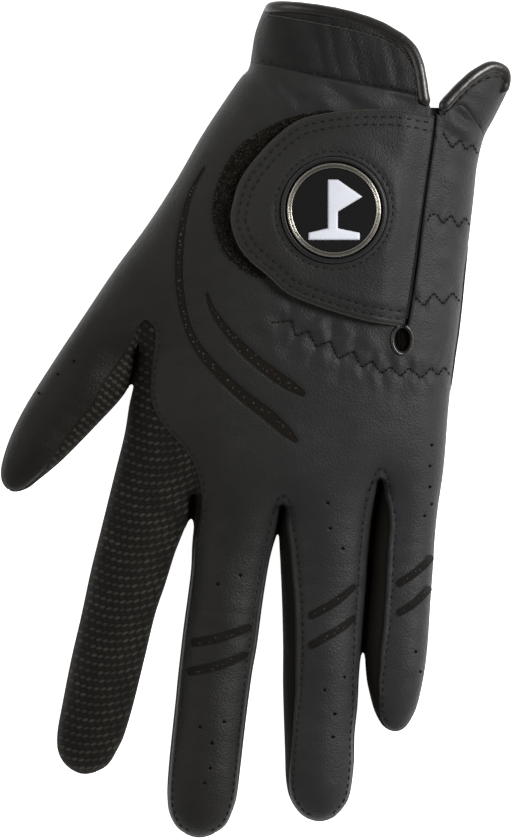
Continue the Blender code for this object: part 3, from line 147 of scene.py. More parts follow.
class Near:
    """Distance to one or several polylines, and the nearest point on them."""

    def __init__(self, *lines, step=0.4, closed=False):
        pts, nxt, prv = [], [], []
        for c in lines:
            c = np.asarray(c, float)[:, :2]
            if closed:
                c = np.vstack([c, c[:1]])
            c = every(c, step)
            k = len(pts)
            pts += list(c)
            prv += [k] + list(range(k, k + len(c) - 1))
            nxt += list(range(k + 1, k + len(c))) + [k + len(c) - 1]
        self.p, self.n, self.b = np.array(pts), np.array(nxt), np.array(prv)
        self.kd = KDTree(len(pts))
        for i, q in enumerate(pts):
            self.kd.insert((q[0], q[1], 0.0), i)
        self.kd.balance()

    def __call__(self, points):
        find = self.kd.find
        i = np.array([find((x, y, 0.0))[1] for x, y in points[:, :2]], int) if len(points) else np.zeros(0, int)
        best, where = np.full(len(points), 1e9), np.zeros((len(points), 2))
        for a, b in ((self.b[i], i), (i, self.n[i])):
            pa, ab = self.p[a], self.p[b] - self.p[a]
            t = np.clip(((points[:, :2] - pa) * ab).sum(1) / np.maximum((ab * ab).sum(1), 1e-12), 0, 1)
            q = pa + ab * t[:, None]
            d = np.linalg.norm(points[:, :2] - q, axis=1)
            m = d < best
            best[m], where[m] = d[m], q[m]
        return best, where

    def dist(self, points):
        return self(np.asarray(points, float))[0]


def area(poly):
    x, y = poly[:, 0], poly[:, 1]
    return 0.5 * (x * np.roll(y, -1) - y * np.roll(x, -1)).sum()


def smooth(t):
    t = np.clip(t, 0.0, 1.0)
    return t * t * (3 - 2 * t)


def offset_curve(curve, widths, flip=1.0):
    t = np.gradient(curve[:, :2], axis=0)
    t /= np.maximum(np.linalg.norm(t, axis=1), 1e-9)[:, None]
    n = np.stack([-t[:, 1], t[:, 0]], axis=1) * flip
    return curve[:, :2] + n * np.broadcast_to(np.asarray(widths, float), (len(curve),))[:, None]


def joined(*parts, tol=0.12):
    p = np.vstack([np.asarray(q, float)[:, :2] for q in parts])
    keep = [0]
    for i in range(1, len(p)):
        if np.linalg.norm(p[i] - p[keep[-1]]) > tol:
            keep.append(i)
    if np.linalg.norm(p[keep[-1]] - p[keep[0]]) < tol:
        keep.pop()
    return p[keep]


def cut(a, b, curve):
    """First crossing of the curve with the line a-b: (index, point)."""
    a, b = np.array(a, float), np.array(b, float)
    n = np.array([-(b - a)[1], (b - a)[0]])
    s = (curve[:, :2] - a) @ n
    mid, half = 0.5 * (a + b), np.linalg.norm(b - a)
    for i in range(len(s) - 1):
        if s[i] * s[i + 1] <= 0 and s[i] != s[i + 1]:
            t = s[i] / (s[i] - s[i + 1])
            p = curve[i] * (1 - t) + curve[i + 1] * t
            if np.linalg.norm(p[:2] - mid) < half:
                return i, p
    return None


def from_to(curve, start, stop):
    i = int(np.linalg.norm(curve[:, :2] - np.array(start)[:2], axis=1).argmin())
    j = int(np.linalg.norm(curve[:, :2] - np.array(stop)[:2], axis=1).argmin())
    return curve[i:j + 1] if i <= j else curve[j:i + 1][::-1]


# ---- the puffed shape --------------------------------------------------------
OUT = {
    "left": spline(LEFT + THUMB, 0.5), "index": spline(INDEX, 0.5), "middle": spline(MIDDLE, 0.5),
    "ring": spline(RING, 0.5), "little": spline(LITTLE + RIGHT, 0.5)}
SIDES = np.vstack([OUT["left"], OUT["index"], OUT["middle"], OUT["ring"], OUT["little"], np.array(BEYOND)])
CELL = 0.5
X0, Y0, NX, NY = -71.0, -115.0, 296, 502


def solve_puff():
    xs, ys = X0 + CELL * np.arange(NX), Y0 + CELL * np.arange(NY)
    gx, gy = np.meshgrid(xs, ys)
    mask = inside(np.stack([gx.ravel(), gy.ravel()], axis=1), SIDES[::2]).reshape(NY, NX)
    mask[0], mask[-1], mask[:, 0], mask[:, -1] = False, False, False, False
    u = np.where(mask, 60.0, 0.0)
    k = 4 + (CELL / RELAX) ** 2
    parity = (np.add.outer(np.arange(NY), np.arange(NX)) % 2).astype(bool)
    inner = (slice(1, -1), slice(1, -1))
    reds, blacks = mask & parity, mask & ~parity
    for _ in range(260):
        for turn in (reds, blacks):
            around = u[:-2, 1:-1] + u[2:, 1:-1] + u[1:-1, :-2] + u[1:-1, 2:]
            new = (around + CELL * CELL) / k
            u[inner] = np.where(turn[inner], u[inner] + 1.88 * (new - u[inner]), u[inner])
    return u


PUFF = solve_puff()
RIM = Near(SIDES, step=0.5, closed=True)


def sampled(points, grid):
    """Smooth look-up of a grid with quadratic B-spline weights, so that no cell edge shows."""
    fx = np.clip((points[:, 0] - X0) / CELL, 1.01, NX - 3.01)
    fy = np.clip((points[:, 1] - Y0) / CELL, 1.01, NY - 3.01)
    ix, iy = np.rint(fx).astype(int), np.rint(fy).astype(int)
    tx, ty = fx - ix, fy - iy
    wx = (0.5 * (0.5 - tx) ** 2, 0.75 - tx**2, 0.5 * (0.5 + tx) ** 2)
    wy = (0.5 * (0.5 - ty) ** 2, 0.75 - ty**2, 0.5 * (0.5 + ty) ** 2)
    out = 0.0
    for a in range(3):
        for b in range(3):
            out = out + wx[a] * wy[b] * grid[iy + b - 1, ix + a - 1]
    return out


def puff(points):
    points = np.asarray(points, float)[:, :2]
    d, q = RIM(points)
    away = (points - q) / np.maximum(d, 1e-6)[:, None]
    near = d < EDGE
    at = np.where(near[:, None], q + away * EDGE, points)
    return LOFT * np.sqrt(np.maximum(sampled(at, PUFF), 0) * np.where(near, d / EDGE, 1.0)) * np.where(d < 1e-4, 0, 1)


FLAT_Z = float(puff(np.array([MARKER]))[0]) + Z_MID


# ---- wrinkles and gathers ---------------------------------------------------------
def waves(points, count, shortest, longest, seed):
    """Soft aperiodic unevenness from a few waves in random directions, about -1 to 1."""
    r = np.random.default_rng(seed)
    out = np.zeros(len(points))
    for _ in range(count):
        a, lam, ph = r.uniform(0, 2 * math.pi), r.uniform(shortest, longest), r.uniform(0, 2 * math.pi)
        out += np.sin(2 * math.pi * (points[:, 0] * math.cos(a) + points[:, 1] * math.sin(a)) / lam + ph)
    return out / math.sqrt(count) * 0.8


GATHER_MAIN = [(9.6, 26.9), (10.8, 22.6), (14.2, 24.2), (16.2, 19.8), (20.1, 21.3), (22.2, 16.5), (26.3, 18.6), (28.5, 14.2), (31.4, 16.0), (33.8, 12.6), (36.5, 14.4), (39.0, 11.7), (41.4, 14.1), (44.6, 11.3), (47.4, 14.1), (49.2, 12.0), (51.0, 14.3), (52.6, 12.0)]
GATHER_LEAD = [(4.2, 26.3), (6.8, 26.5), (9.6, 26.9)]
GATHER_SIDE = [
    [(50.5, 77.5), (52.9, 73.4), (55.3, 75.6), (56.7, 72.8), (58.6, 74.4), (60.0, 71.8)],
    [(46.2, 53.6), (47.2, 55.5), (48.9, 55.6), (50.5, 52.9), (52.8, 55.3), (54.7, 51.9), (56.7, 54.7), (57.9, 52.4)],
    [(43.0, 33.1), (45.5, 30.8), (48.0, 34.3), (50.6, 31.2), (53.2, 34.4), (55.2, 31.9)]]
main_mid = spline([(5.0, 27.6), (9.8, 25.6), (14.4, 22.2), (20.2, 19.0), (26.2, 16.5), (32.0, 14.4), (38.0, 13.1), (44.0, 12.7), (52.0, 13.1)], 0.5)
main_arc = arc(main_mid)
MAIN = Near(main_mid)
SIDE_MID = [spline([(46.5, 76.5), (53.0, 75.0), (59.5, 72.0)], 0.5), spline([(45.0, 54.2), (51.0, 54.1), (58.0, 53.6)], 0.5), spline([(42.0, 32.6), (48.0, 32.6), (56.0, 33.0)], 0.5)]
SIDE_NEAR = [Near(c) for c in SIDE_MID]


def pucker(points, near, mid, period, reach, amp, seed):
    """Ridges that cross a gathered line and die out on both sides of it."""
    d, q = near(points)
    on = d < reach
    out = np.zeros(len(points))
    if not on.any():
        return out
    p = points[on]
    kd = np.argmin(np.abs(q[on][:, None, 0] - mid[None, :, 0]) + np.abs(q[on][:, None, 1] - mid[None, :, 1]), axis=1)
    s = arc(mid)[kd]
    bend = 1.3 * np.sin(d[on] * 0.45 + seed)
    ph = 2 * math.pi * (s + bend) / period + 0.9 * np.sin(s * 0.6 + seed)
    fall = np.exp(-(d[on] / (reach * 0.42)) ** 2)
    pinch = -0.55 * np.exp(-(d[on] / 1.1) ** 2)
    out[on] = amp * (fall * (0.55 * np.sin(ph) + 0.25) + pinch)
    return out


def teeth():
    """One crease for each point of the zigzag stitching, where the elastic draws the leather in: (x, y, dx, dy, length, depth, width, phase)."""
    r, out = np.random.default_rng(12), []
    for row, long, deep in [(GATHER_MAIN, 1.0, 1.0)] + [(q, 0.55, 0.7) for q in GATHER_SIDE]:
        q = np.array(row)
        for k in range(len(q)):
            away = q[k] - 0.5 * (q[max(k - 1, 0)] + q[min(k + 1, len(q) - 1)])
            size = np.linalg.norm(away)
            if size < 0.3:
                continue
            a = math.atan2(away[1], away[0]) + r.uniform(-0.3, 0.3)
            out.append((*q[k], math.cos(a), math.sin(a), r.uniform(4.0, 8.5) * long, r.uniform(0.5, 0.95) * deep, r.uniform(0.65, 1.05), r.uniform(0, 6.3)))
    return out


TEETH = teeth()
CUFF_NEAR = Near(spline(CUFF, 0.5))
# broad folds: from, to, half width, height (a ridge) or depth (a crease)
FOLDS = [
    (2.5, 92.5, 9.5, 83.0, 2.4, 0.75), (6.5, 92.0, 13.0, 84.5, 1.6, -0.65), (12.0, 91.0, 20.0, 84.0, 2.2, 0.7), (19.0, 90.5, 27.5, 84.0, 1.7, -0.65),
    (26.0, 89.0, 34.0, 84.0, 2.2, 0.65), (36.0, 88.0, 42.5, 84.2, 1.7, -0.55), (-6.0, 84.0, 1.0, 79.0, 2.4, 0.45), (53.5, 83.5, 61.5, 78.3, 1.0, -0.75), (52.0, 81.0, 60.0, 75.8, 1.6, 0.65),
    (52.0, 77.6, 58.5, 73.6, 1.1, -0.5), (50.5, 66.0, 56.5, 62.0, 2.2, 0.3), (49.5, 45.0, 54.0, 42.0, 2.0, 0.25), (-62.0, -3.0, -57.5, -9.5, 3.0, 0.2),
    (4.0, 21.5, 8.0, 12.0, 2.4, 0.3), (22.0, 27.0, 27.0, 21.0, 1.8, 0.35), (15.5, 27.5, 19.5, 23.0, 1.7, 0.35), (29.5, 23.5, 33.5, 18.0, 1.9, 0.4),
    (19.0, 25.5, 22.0, 22.0, 1.3, -0.35), (26.5, 22.0, 29.5, 17.5, 1.3, -0.35), (34.0, 19.5, 36.5, 14.5, 1.4, -0.35), (-42.0, 34.0, -30.0, 30.0, 5.0, 0.3)]


def relief(p):
    """Everything that makes the leather uneven: broad dents, gathers at the elastic, creases where the fingers bend."""
    out = 0.20 * waves(p, 7, 16.0, 40.0, 3) + 0.06 * waves(p, 9, 5.0, 11.0, 5)
    out += 0.34 * pucker(p, MAIN, main_mid, 5.2, 13.0, 0.85, 1.0)
    for k, near in enumerate(SIDE_NEAR):
        out += 0.35 * pucker(p, near, SIDE_MID[k], 3.6, 9.0, 0.6, 2.0 + k)
    lift = MAIN.dist(p)
    out += 0.28 * np.exp(-((lift - 3.2) / 2.3) ** 2)
    for x, y, dx, dy, long, deep, wide, phase in TEETH:
        rx, ry = p[:, 0] - x, p[:, 1] - y
        v = rx * dx + ry * dy
        u = -rx * dy + ry * dx - 0.18 * np.sin(0.8 * v + phase)
        w = wide * (1 + 0.14 * np.maximum(v, 0))
        along = np.where(v > 0, np.exp(-1.6 * (v / long) ** 2), np.exp(-(v / 0.9) ** 2))
        out -= 0.66 * deep * along * np.exp(-(u / w) ** 2)
    for x0, y0, x1, y1, wide, high in FOLDS:
        a, ab = np.array([x0, y0]), np.array([x1 - x0, y1 - y0])
        size = np.linalg.norm(ab)
        t = (p - a) @ ab / size**2
        u = ((p - a) @ np.array([-ab[1], ab[0]])) / size
        out += high * np.exp(-((u + 0.25 * np.sin(5 * t)) / wide) ** 2) * np.exp(-(((t - 0.5) / 0.5) ** 4))
    # the soft gathers of the cuff band
    along = p[:, 0] + 0.22 * (p[:, 1] - 95)
    across = p[:, 1] - (96.6 - 0.215 * p[:, 0])
    band = smooth(across / 3.0) * smooth((46.0 - p[:, 0]) / 3.0) * smooth((CUFF_NEAR.dist(p) - 2.0) / 5.0)
    out += band * (0.15 * np.sin(2 * math.pi * along / 6.3 + 2.1 * np.sin(along * 0.31)) + 0.04 * np.sin(2 * math.pi * along / 3.4 + 2.0 * np.sin(along * 0.17)))
    # creases across the fingers
    for f, (x, y, _) in FLEX.items():
        ax = FLEX_AXIS[f]
        r = p - np.array([x, y])
        u, v = r @ np.array(ax), r @ np.array([-ax[1], ax[0]])
        near = np.exp(-(u / 9.0) ** 4) * np.exp(-(v / 10.0) ** 2)
        out += -0.12 * near * (np.exp(-((v - 2.2 - 0.05 * u) / 0.9) ** 2) + np.exp(-((v + 3.4 + 0.07 * u) / 1.0) ** 2))
    return out * smooth(puff_cache(p) / 3.0)


_last = {"key": None, "t": None}


def puff_cache(p):
    key = (len(p), float(p[0, 0]) if len(p) else 0.0, float(p[-1, 1]) if len(p) else 0.0)
    if _last["key"] != key:
        _last["key"], _last["t"] = key, puff(p)
    return _last["t"]


def back(p):
    """Outer height of the back of the glove."""
    return Z_MID + 0.35 + puff_cache(p) + relief(p)


def under(p):
    t = puff_cache(p)
    return (Z_MID - 0.35) * (1 - np.sin(0.5 * math.pi * np.minimum(1, t / 4.6)))


# ---- meshes ---------------------------------------------------------------------
PIECES = []


def make(name, verts, faces, mat, uv=None, normals=None, smooth_all=True, dark=None):
    mesh = bpy.data.meshes.new(name)
    verts = np.asarray(verts, float) / 1000.0
    mesh.from_pydata(verts.tolist(), [], [list(map(int, f)) for f in faces])
    if smooth_all:
        mesh.polygons.foreach_set("use_smooth", [True] * len(mesh.polygons))
    layer = mesh.uv_layers.new(name="map")
    index = np.zeros(len(mesh.loops), int)
    mesh.loops.foreach_get("vertex_index", index)
    flat = (np.asarray(uv, float) if uv is not None else verts[:, :2] * 1000.0)[index] / 100.0
    layer.data.foreach_set("uv", flat.ravel())
    if dark is not None:
        att = mesh.attributes.new("tone", "FLOAT", "POINT")
        att.data.foreach_set("value", np.asarray(dark, np.float32))
    if normals is not None:
        mesh.normals_split_custom_set_from_vertices([tuple(n) for n in normals])
    obj = bpy.data.objects.new(name, mesh)
    bpy.context.scene.collection.objects.link(obj)
    mesh.materials.append(mat)
    return obj


def fill(outline, holes, step, rows=(0.22, 0.55, 1.0), extra=None):
    """Triangles over an outline, with rows of points that follow its edges."""
    rings = [outline] + list(holes)
    pts = [tuple(q) for ring in rings for q in ring]
    edges, k = [], 0
    for ring in rings:
        edges += [(k + i, k + (i + 1) % len(ring)) for i in range(len(ring))]
        k += len(ring)
    near = Near(*[np.vstack([r, r[:1]]) for r in rings], step=0.3)
    lo, hi = outline.min(axis=0), outline.max(axis=0)
    cand, y, odd = [], lo[1] + step * 0.4, 0
    while y < hi[1]:
        xs = np.arange(lo[0] + (step * 0.5 if odd else 0.0), hi[0], step)
        cand.append(np.stack([xs, np.full(len(xs), y)], axis=1))
        y += step * 0.866
        odd ^= 1
    cand = np.vstack(cand)
    last = rows[-1] if rows else 0.0

    def ok(q):
        m = inside(q, outline)
        for h in holes:
            m &= ~inside(q, h)
        return m

    cand = cand[ok(cand)]
    cand = cand[near.dist(cand) > last + step * 0.5]
    got = [cand]
    for depth in rows:
        for i, ring in enumerate(rings):
            r = every(np.vstack([ring, ring[:1]]), max(step * 0.9, 0.35))[:-1]
            t = np.roll(r, -1, axis=0) - np.roll(r, 1, axis=0)
            t /= np.maximum(np.linalg.norm(t, axis=1), 1e-9)[:, None]
            sign = (1.0 if area(ring) > 0 else -1.0) * (1.0 if i == 0 else -1.0)
            q = r + sign * depth * np.stack([-t[:, 1], t[:, 0]], axis=1)
            q = q[ok(q)]
            q = q[near.dist(q) > depth * 0.8]
            got.append(q)
    if extra is not None:
        e = extra[ok(extra)]
        got.append(e[near.dist(e) > 0.2])
    allp = np.vstack(got)
    out = delaunay_2d_cdt([Vector(q) for q in pts] + [Vector(q) for q in allp], edges, [], 0, 1e-5, True)
    v = np.array([tuple(q) for q in out[0]])
    f = np.array([t for t in out[2] if len(t) == 3])
    keep = ok(v[f].mean(axis=1))
    a = v[f]
    twice = (a[:, 1, 0] - a[:, 0, 0]) * (a[:, 2, 1] - a[:, 0, 1]) - (a[:, 1, 1] - a[:, 0, 1]) * (a[:, 2, 0] - a[:, 0, 0])
    keep &= np.abs(twice) > 1e-8
    f, twice = f[keep], twice[keep]
    f[twice < 0] = f[twice < 0][:, ::-1]
    used = np.unique(f)
    index = -np.ones(len(v), int)
    index[used] = np.arange(len(used))
    return v[used], index[f]


def rim_edges(f):
    e = np.concatenate([f[:, [0, 1]], f[:, [1, 2]], f[:, [2, 0]]])
    key = {(a, b) for a, b in map(tuple, e)}
    return np.array([(a, b) for a, b in key if (b, a) not in key])


def skirt(v3, f, drop, into=0.0):
    """Vertical edge faces below the rim of an upward sheet: (verts, faces) with their own points."""
    e = rim_edges(f)
    if not len(e):
        return v3[:0], []
    a, b = v3[e[:, 0]], v3[e[:, 1]]
    low = np.array([0, 0, drop])
    verts = np.vstack([a, b, b - low, a - low])
    n = len(e)
    return verts, [(i, i + 3 * n, i + 2 * n, i + n) for i in range(n)]


def vertex_normals(v, f):
    n = np.zeros_like(v)
    face = np.cross(v[f[:, 1]] - v[f[:, 0]], v[f[:, 2]] - v[f[:, 0]])
    for k in range(3):
        np.add.at(n, f[:, k], face)
    return n / np.maximum(np.linalg.norm(n, axis=1), 1e-12)[:, None]


def weld_normals(parts):
    """Normals of several sheets as if they were one, so that no seam shows where they meet."""
    allv = np.vstack([v for v, _ in parts])
    _, inv = np.unique(np.round(allv, 3), axis=0, return_inverse=True)
    inv = inv.reshape(-1)
    total = np.zeros((inv.max() + 1, 3))
    k = 0
    for v, f in parts:
        face = np.cross(v[f[:, 1]] - v[f[:, 0]], v[f[:, 2]] - v[f[:, 0]])
        for c in range(3):
            np.add.at(total, inv[k + f[:, c]], face)
        k += len(v)
    total /= np.maximum(np.linalg.norm(total, axis=1), 1e-12)[:, None]
    out, k = [], 0
    for v, _ in parts:
        out.append(total[inv[k:k + len(v)]])
        k += len(v)
    return out


def sheet_object(name, v3, f, mat, drop=0.8, normals=None, tone=None):
    """A sheet with a thickness at its rim."""
    n = normals if normals is not None else vertex_normals(v3, f)
    sv, sf = skirt(v3, f, drop)
    verts = np.vstack([v3, sv])
    faces = [tuple(t) for t in f] + [tuple(int(i) + len(v3) for i in q) for q in sf]
    sn = np.zeros((len(sv), 3))
    if len(sv):
        q = np.array(sf)
        fn = np.cross(sv[q[:, 1]] - sv[q[:, 0]], sv[q[:, 2]] - sv[q[:, 0]])
        fn /= np.maximum(np.linalg.norm(fn, axis=1), 1e-12)[:, None]
        for c in range(4):
            sn[q[:, c]] = fn
    uv = verts[:, :2].copy()
    uv[len(v3):, 0] += 0.3 * (verts[len(v3):, 2])
    t = None
    if tone is not None:
        t = np.concatenate([tone, np.full(len(sv), 0.35)])
    return make(name, verts, faces, mat, uv=uv, normals=np.vstack([n, sn]), dark=t)


class Threads:
    """Collects many small rounded stitches, or longer cords, into one mesh."""

    def __init__(self):
        self.v, self.f = [], []

    def cord(self, path, r, sides=6, caps=True, flat=1.0):
        p = np.asarray(path, float)
        t = np.gradient(p, axis=0)
        t /= np.maximum(np.linalg.norm(t, axis=1), 1e-9)[:, None]
        side = np.cross(t, [0, 0, 1.0])
        side /= np.maximum(np.linalg.norm(side, axis=1), 1e-6)[:, None]
        lift = np.cross(side, t)
        rr = np.broadcast_to(np.asarray(r, float), (len(p),))
        k0 = len(self.v)
        for i in range(len(p)):
            for k in range(sides):
                a = 2 * math.pi * k / sides
                self.v.append(p[i] + rr[i] * (side[i] * math.cos(a) + flat * lift[i] * math.sin(a)))
        for i in range(len(p) - 1):
            for k in range(sides):
                a, b = k0 + i * sides + k, k0 + i * sides + (k + 1) % sides
                self.f.append((a, b, b + sides, a + sides))
        if caps:
            self.f.append(tuple(k0 + k for k in range(sides))[::-1])
            self.f.append(tuple(k0 + (len(p) - 1) * sides + k for k in range(sides)))

    def stitch(self, a, b, r, heights=None):
        """One stitch from a to b, its ends dipping into the leather."""
        a, b = np.array(a), np.array(b)
        s = np.linspace(0, 1, 5)
        path = a + (b - a) * s[:, None]
        if heights is not None:
            path[:, 2] = heights
        path[:, 2] += r * np.array([-1.3, 0.25, 0.6, 0.25, -1.3])
        self.cord(path, r * np.array([0.55, 1.0, 1.08, 1.0, 0.55]), 5, True)

    def row(self, path, z, pitch=2.0, length=1.45, r=0.17, jitter=0.05):
        """A row of stitches along a plan curve; z gives the height there."""
        c = every(path, 0.25)
        s = arc(c)
        n = max(1, int(s[-1] / pitch))
        starts = (np.arange(n) + 0.5) * s[-1] / n - length / 2
        ends = starts + length
        off = RNG.normal(0, jitter, (n, 2))
        pa = np.stack([np.interp(starts, s, c[:, k]) for k in range(2)], axis=1) + off
        pb = np.stack([np.interp(ends, s, c[:, k]) for k in range(2)], axis=1) + off * 0.6
        za, zb = z(pa), z(pb)
        for i in range(n):
            self.stitch((*pa[i], za[i]), (*pb[i], zb[i]), r)

    def build(self, name, mat):
        return make(name, np.array(self.v), self.f, mat) if self.v else None


# ---- materials --------------------------------------------------------------------
def material(name, colour, rough, bump=0.0, grain=0.9, kind="leather", sheen=0.0, coat=0.0, metal=0.0, spec=0.5, tone_amount=0.0, thumb_side_tint_and_shade=None, vary=0.07):
    mat = bpy.data.materials.new(name)
    mat.use_nodes = True
    nt = mat.node_tree
    n, link = nt.nodes, nt.links.new
    bsdf = n["Principled BSDF"]
    bsdf.inputs["Metallic"].default_value = metal
    bsdf.inputs["IOR"].default_value = 1.45
    bsdf.inputs["Specular IOR Level"].default_value = spec
    bsdf.inputs["Sheen Weight"].default_value = sheen
    bsdf.inputs["Sheen Roughness"].default_value = 0.45
    bsdf.inputs["Sheen Tint"].default_value = (0.75, 0.76, 0.85, 1)
    bsdf.inputs["Coat Weight"].default_value = coat
    bsdf.inputs["Coat Roughness"].default_value = 0.18
    uv = n.new("ShaderNodeUVMap")
    uv.uv_map = "map"
    scale = n.new("ShaderNodeVectorMath")
    scale.operation = "SCALE"
    scale.inputs[3].default_value = 100.0  # back to millimetres
    link(uv.outputs[0], scale.inputs[0])
    mm = scale.outputs[0]
    big = n.new("ShaderNodeTexNoise")
    big.inputs["Scale"].default_value = 0.045
    big.inputs["Detail"].default_value = 4.0
    link(mm, big.inputs["Vector"])
    ramp = n.new("ShaderNodeMapRange")
    ramp.inputs["From Min"].default_value, ramp.inputs["From Max"].default_value = 0.3, 0.7
    ramp.inputs["To Min"].default_value, ramp.inputs["To Max"].default_value = 0.86, 1.14
    link(big.outputs["Fac"], ramp.inputs["Value"])
    fine = n.new("ShaderNodeTexNoise")
    fine.inputs["Scale"].default_value = 1.4
    fine.inputs["Detail"].default_value = 3.0
    link(mm, fine.inputs["Vector"])
    # painted shade: the thumb side is darker and a shade warmer than the little-finger side, standing in for the key
    # light from the right
    xyz = n.new("ShaderNodeSeparateXYZ")
    link(mm, xyz.inputs[0])
    across = n.new("ShaderNodeMapRange")
    across.inputs["From Min"].default_value, across.inputs["From Max"].default_value = -45.0, 50.0
    link(xyz.outputs[0], across.inputs["Value"])
    mix = n.new("ShaderNodeMix")
    mix.data_type = "RGBA"
    link(across.outputs[0], mix.inputs["Factor"])
    thumb_side_shade = thumb_side_tint_and_shade or tuple(c * k for c, k in zip(colour, (0.92, 0.88, 0.80)))
    mix.inputs["A"].default_value = (*thumb_side_shade, 1)
    mix.inputs["B"].default_value = (*colour, 1)
    shade = n.new("ShaderNodeVectorMath")
    shade.operation = "SCALE"
    link(mix.outputs["Result"], shade.inputs[0])
    link(ramp.outputs[0], shade.inputs[3])
    out = shade.outputs[0]
    if tone_amount:
        att = n.new("ShaderNodeAttribute")
        att.attribute_name = "tone"
        tr = n.new("ShaderNodeMapRange")
        tr.inputs["To Min"].default_value, tr.inputs["To Max"].default_value = 1.0 - tone_amount, 1.0 + tone_amount
        link(att.outputs["Fac"], tr.inputs["Value"])
        s2 = n.new("ShaderNodeVectorMath")
        s2.operation = "SCALE"
        link(out, s2.inputs[0])
        link(tr.outputs[0], s2.inputs[3])
        out = s2.outputs[0]
    link(out, bsdf.inputs["Base Color"])
    rr = n.new("ShaderNodeMapRange")
    rr.inputs["To Min"].default_value, rr.inputs["To Max"].default_value = max(rough - vary, 0.03), min(rough + vary, 1)
    link(fine.outputs["Fac"], rr.inputs["Value"])
    link(rr.outputs[0], bsdf.inputs["Roughness"])
    if bump:
        bumpn = n.new("ShaderNodeBump")
        bumpn.inputs["Strength"].default_value = bump
        bumpn.inputs["Distance"].default_value = 0.00013
        if kind == "leather":
            cells = n.new("ShaderNodeTexVoronoi")
            cells.inputs["Scale"].default_value = 1.0 / grain
            cells.inputs["Randomness"].default_value = 1.0
            warp = n.new("ShaderNodeMix")
            warp.data_type = "VECTOR"
            warp.inputs["Factor"].default_value = 0.28
            link(mm, warp.inputs["A"])
            link(fine.outputs["Color"], warp.inputs["B"])
            link(mm, cells.inputs["Vector"])
            mixh = n.new("ShaderNodeMath")
            mixh.operation = "MULTIPLY_ADD"
            mixh.inputs[1].default_value = 0.45
            link(fine.outputs["Fac"], mixh.inputs[0])
            link(cells.outputs["Distance"], mixh.inputs[2])
            link(mixh.outputs[0], bumpn.inputs["Height"])
            bumpn.invert = True
        elif kind == "weave":
            w1 = n.new("ShaderNodeTexWave")
            w1.inputs["Scale"].default_value = 0.55 / grain
            w1.bands_direction = "X"
            w2 = n.new("ShaderNodeTexWave")
            w2.inputs["Scale"].default_value = 0.55 / grain
            w2.bands_direction = "Y"
            w1.inputs["Distortion"].default_value = w2.inputs["Distortion"].default_value = 0.8
            link(mm, w1.inputs["Vector"])
            link(mm, w2.inputs["Vector"])
            m2 = n.new("ShaderNodeMath")
            m2.operation = "MULTIPLY"
            link(w1.outputs["Fac"], m2.inputs[0])
            link(w2.outputs["Fac"], m2.inputs[1])
            link(m2.outputs[0], bumpn.inputs["Height"])
        else:
            f2 = n.new("ShaderNodeTexNoise")
            f2.inputs["Scale"].default_value = 1.0 / grain
            f2.inputs["Detail"].default_value = 5.0
            link(mm, f2.inputs["Vector"])
            link(f2.outputs["Fac"], bumpn.inputs["Height"])
        link(bumpn.outputs[0], bsdf.inputs["Normal"])
    return mat


# the last colour given to a material is its thumb-side colour; for the leathers it is much darker, painted shade for
# the light from the right
M_LEATHER = material("back_leather", (0.0250, 0.0250, 0.0264), 0.50, bump=0.66, grain=0.50, sheen=0.0, spec=0.25, tone_amount=0.7, thumb_side_tint_and_shade=(0.0064, 0.0058, 0.0042))
M_PALM = material("palm_leather", (0.0225, 0.0225, 0.0235), 0.55, bump=0.8, grain=0.55, spec=0.25, thumb_side_tint_and_shade=(0.0120, 0.0112, 0.0092))
M_TAB = material("tab_leather", (0.0184, 0.0184, 0.0192), 0.50, bump=0.66, grain=0.50, sheen=0.0, spec=0.27, thumb_side_tint_and_shade=(0.0122, 0.0114, 0.0094))
M_KNIT = material("knit", (0.0262, 0.0240, 0.0208), 0.72, bump=0.7, grain=0.42, kind="weave", spec=0.14, tone_amount=0.96, thumb_side_tint_and_shade=(0.0230, 0.0204, 0.0164))
M_STRIP = material("side_strip", (0.0104, 0.0087, 0.0066), 0.75, bump=0.7, grain=0.5, kind="weave", spec=0.12)
M_LINING = material("lining", (0.014, 0.014, 0.0145), 0.9, bump=0.4, grain=0.5, kind="weave", spec=0.15)
M_PIPING = material("piping", (0.0062, 0.0052, 0.0040), 0.36, bump=0.35, grain=0.8, kind="leather", coat=0.3, spec=0.55)
M_THREAD = material("thread", (0.0036, 0.0034, 0.0030), 0.6, bump=0.6, grain=0.25, kind="noise", spec=0.3)
M_BROWN = material("binding_edge", (0.036, 0.032, 0.027), 0.6, bump=0.6, grain=0.25, kind="noise", spec=0.3, thumb_side_tint_and_shade=(0.046, 0.040, 0.033))
M_RAW = material("raw_edge", (0.042, 0.040, 0.036), 0.85, bump=0.9, grain=0.4, kind="noise", spec=0.15, thumb_side_tint_and_shade=(0.036, 0.034, 0.029))
M_RIBS = material("ribbed_elastic", (0.0024, 0.0019, 0.0012), 0.8, bump=0.8, grain=0.4, kind="weave", spec=0.1)
M_LOOPS = material("loops", (0.0128, 0.0114, 0.0092), 0.95, bump=0.9, grain=0.5, kind="noise", spec=0.1)
M_FIBRE = material("light_fibres", (0.060, 0.056, 0.050), 0.6, bump=0.2, grain=0.5, kind="noise", spec=0.3)
M_PIT = material("pits", (0.0030, 0.0028, 0.0024), 0.8, bump=0.3, grain=0.5, kind="noise", spec=0.05)
M_BAR = material("flex_bar", (0.0078, 0.0072, 0.0060), 0.7, bump=0.5, grain=0.5, kind="weave", spec=0.14)
M_DOT_HIGHLIGHT = material("mesh_dot_highlights", (0.046, 0.040, 0.033), 0.6, bump=0.2, grain=0.5, kind="noise", spec=0.4)
M_METAL = material("marker_metal", (0.36, 0.345, 0.31), 0.27, bump=0.02, grain=1.5, kind="noise", metal=1.0, vary=0.01, thumb_side_tint_and_shade=(0.36, 0.345, 0.31))
M_ENAMEL = material("marker_enamel", (0.006, 0.006, 0.007), 0.12, bump=0.05, grain=2.0, kind="noise", coat=0.5, spec=0.5)
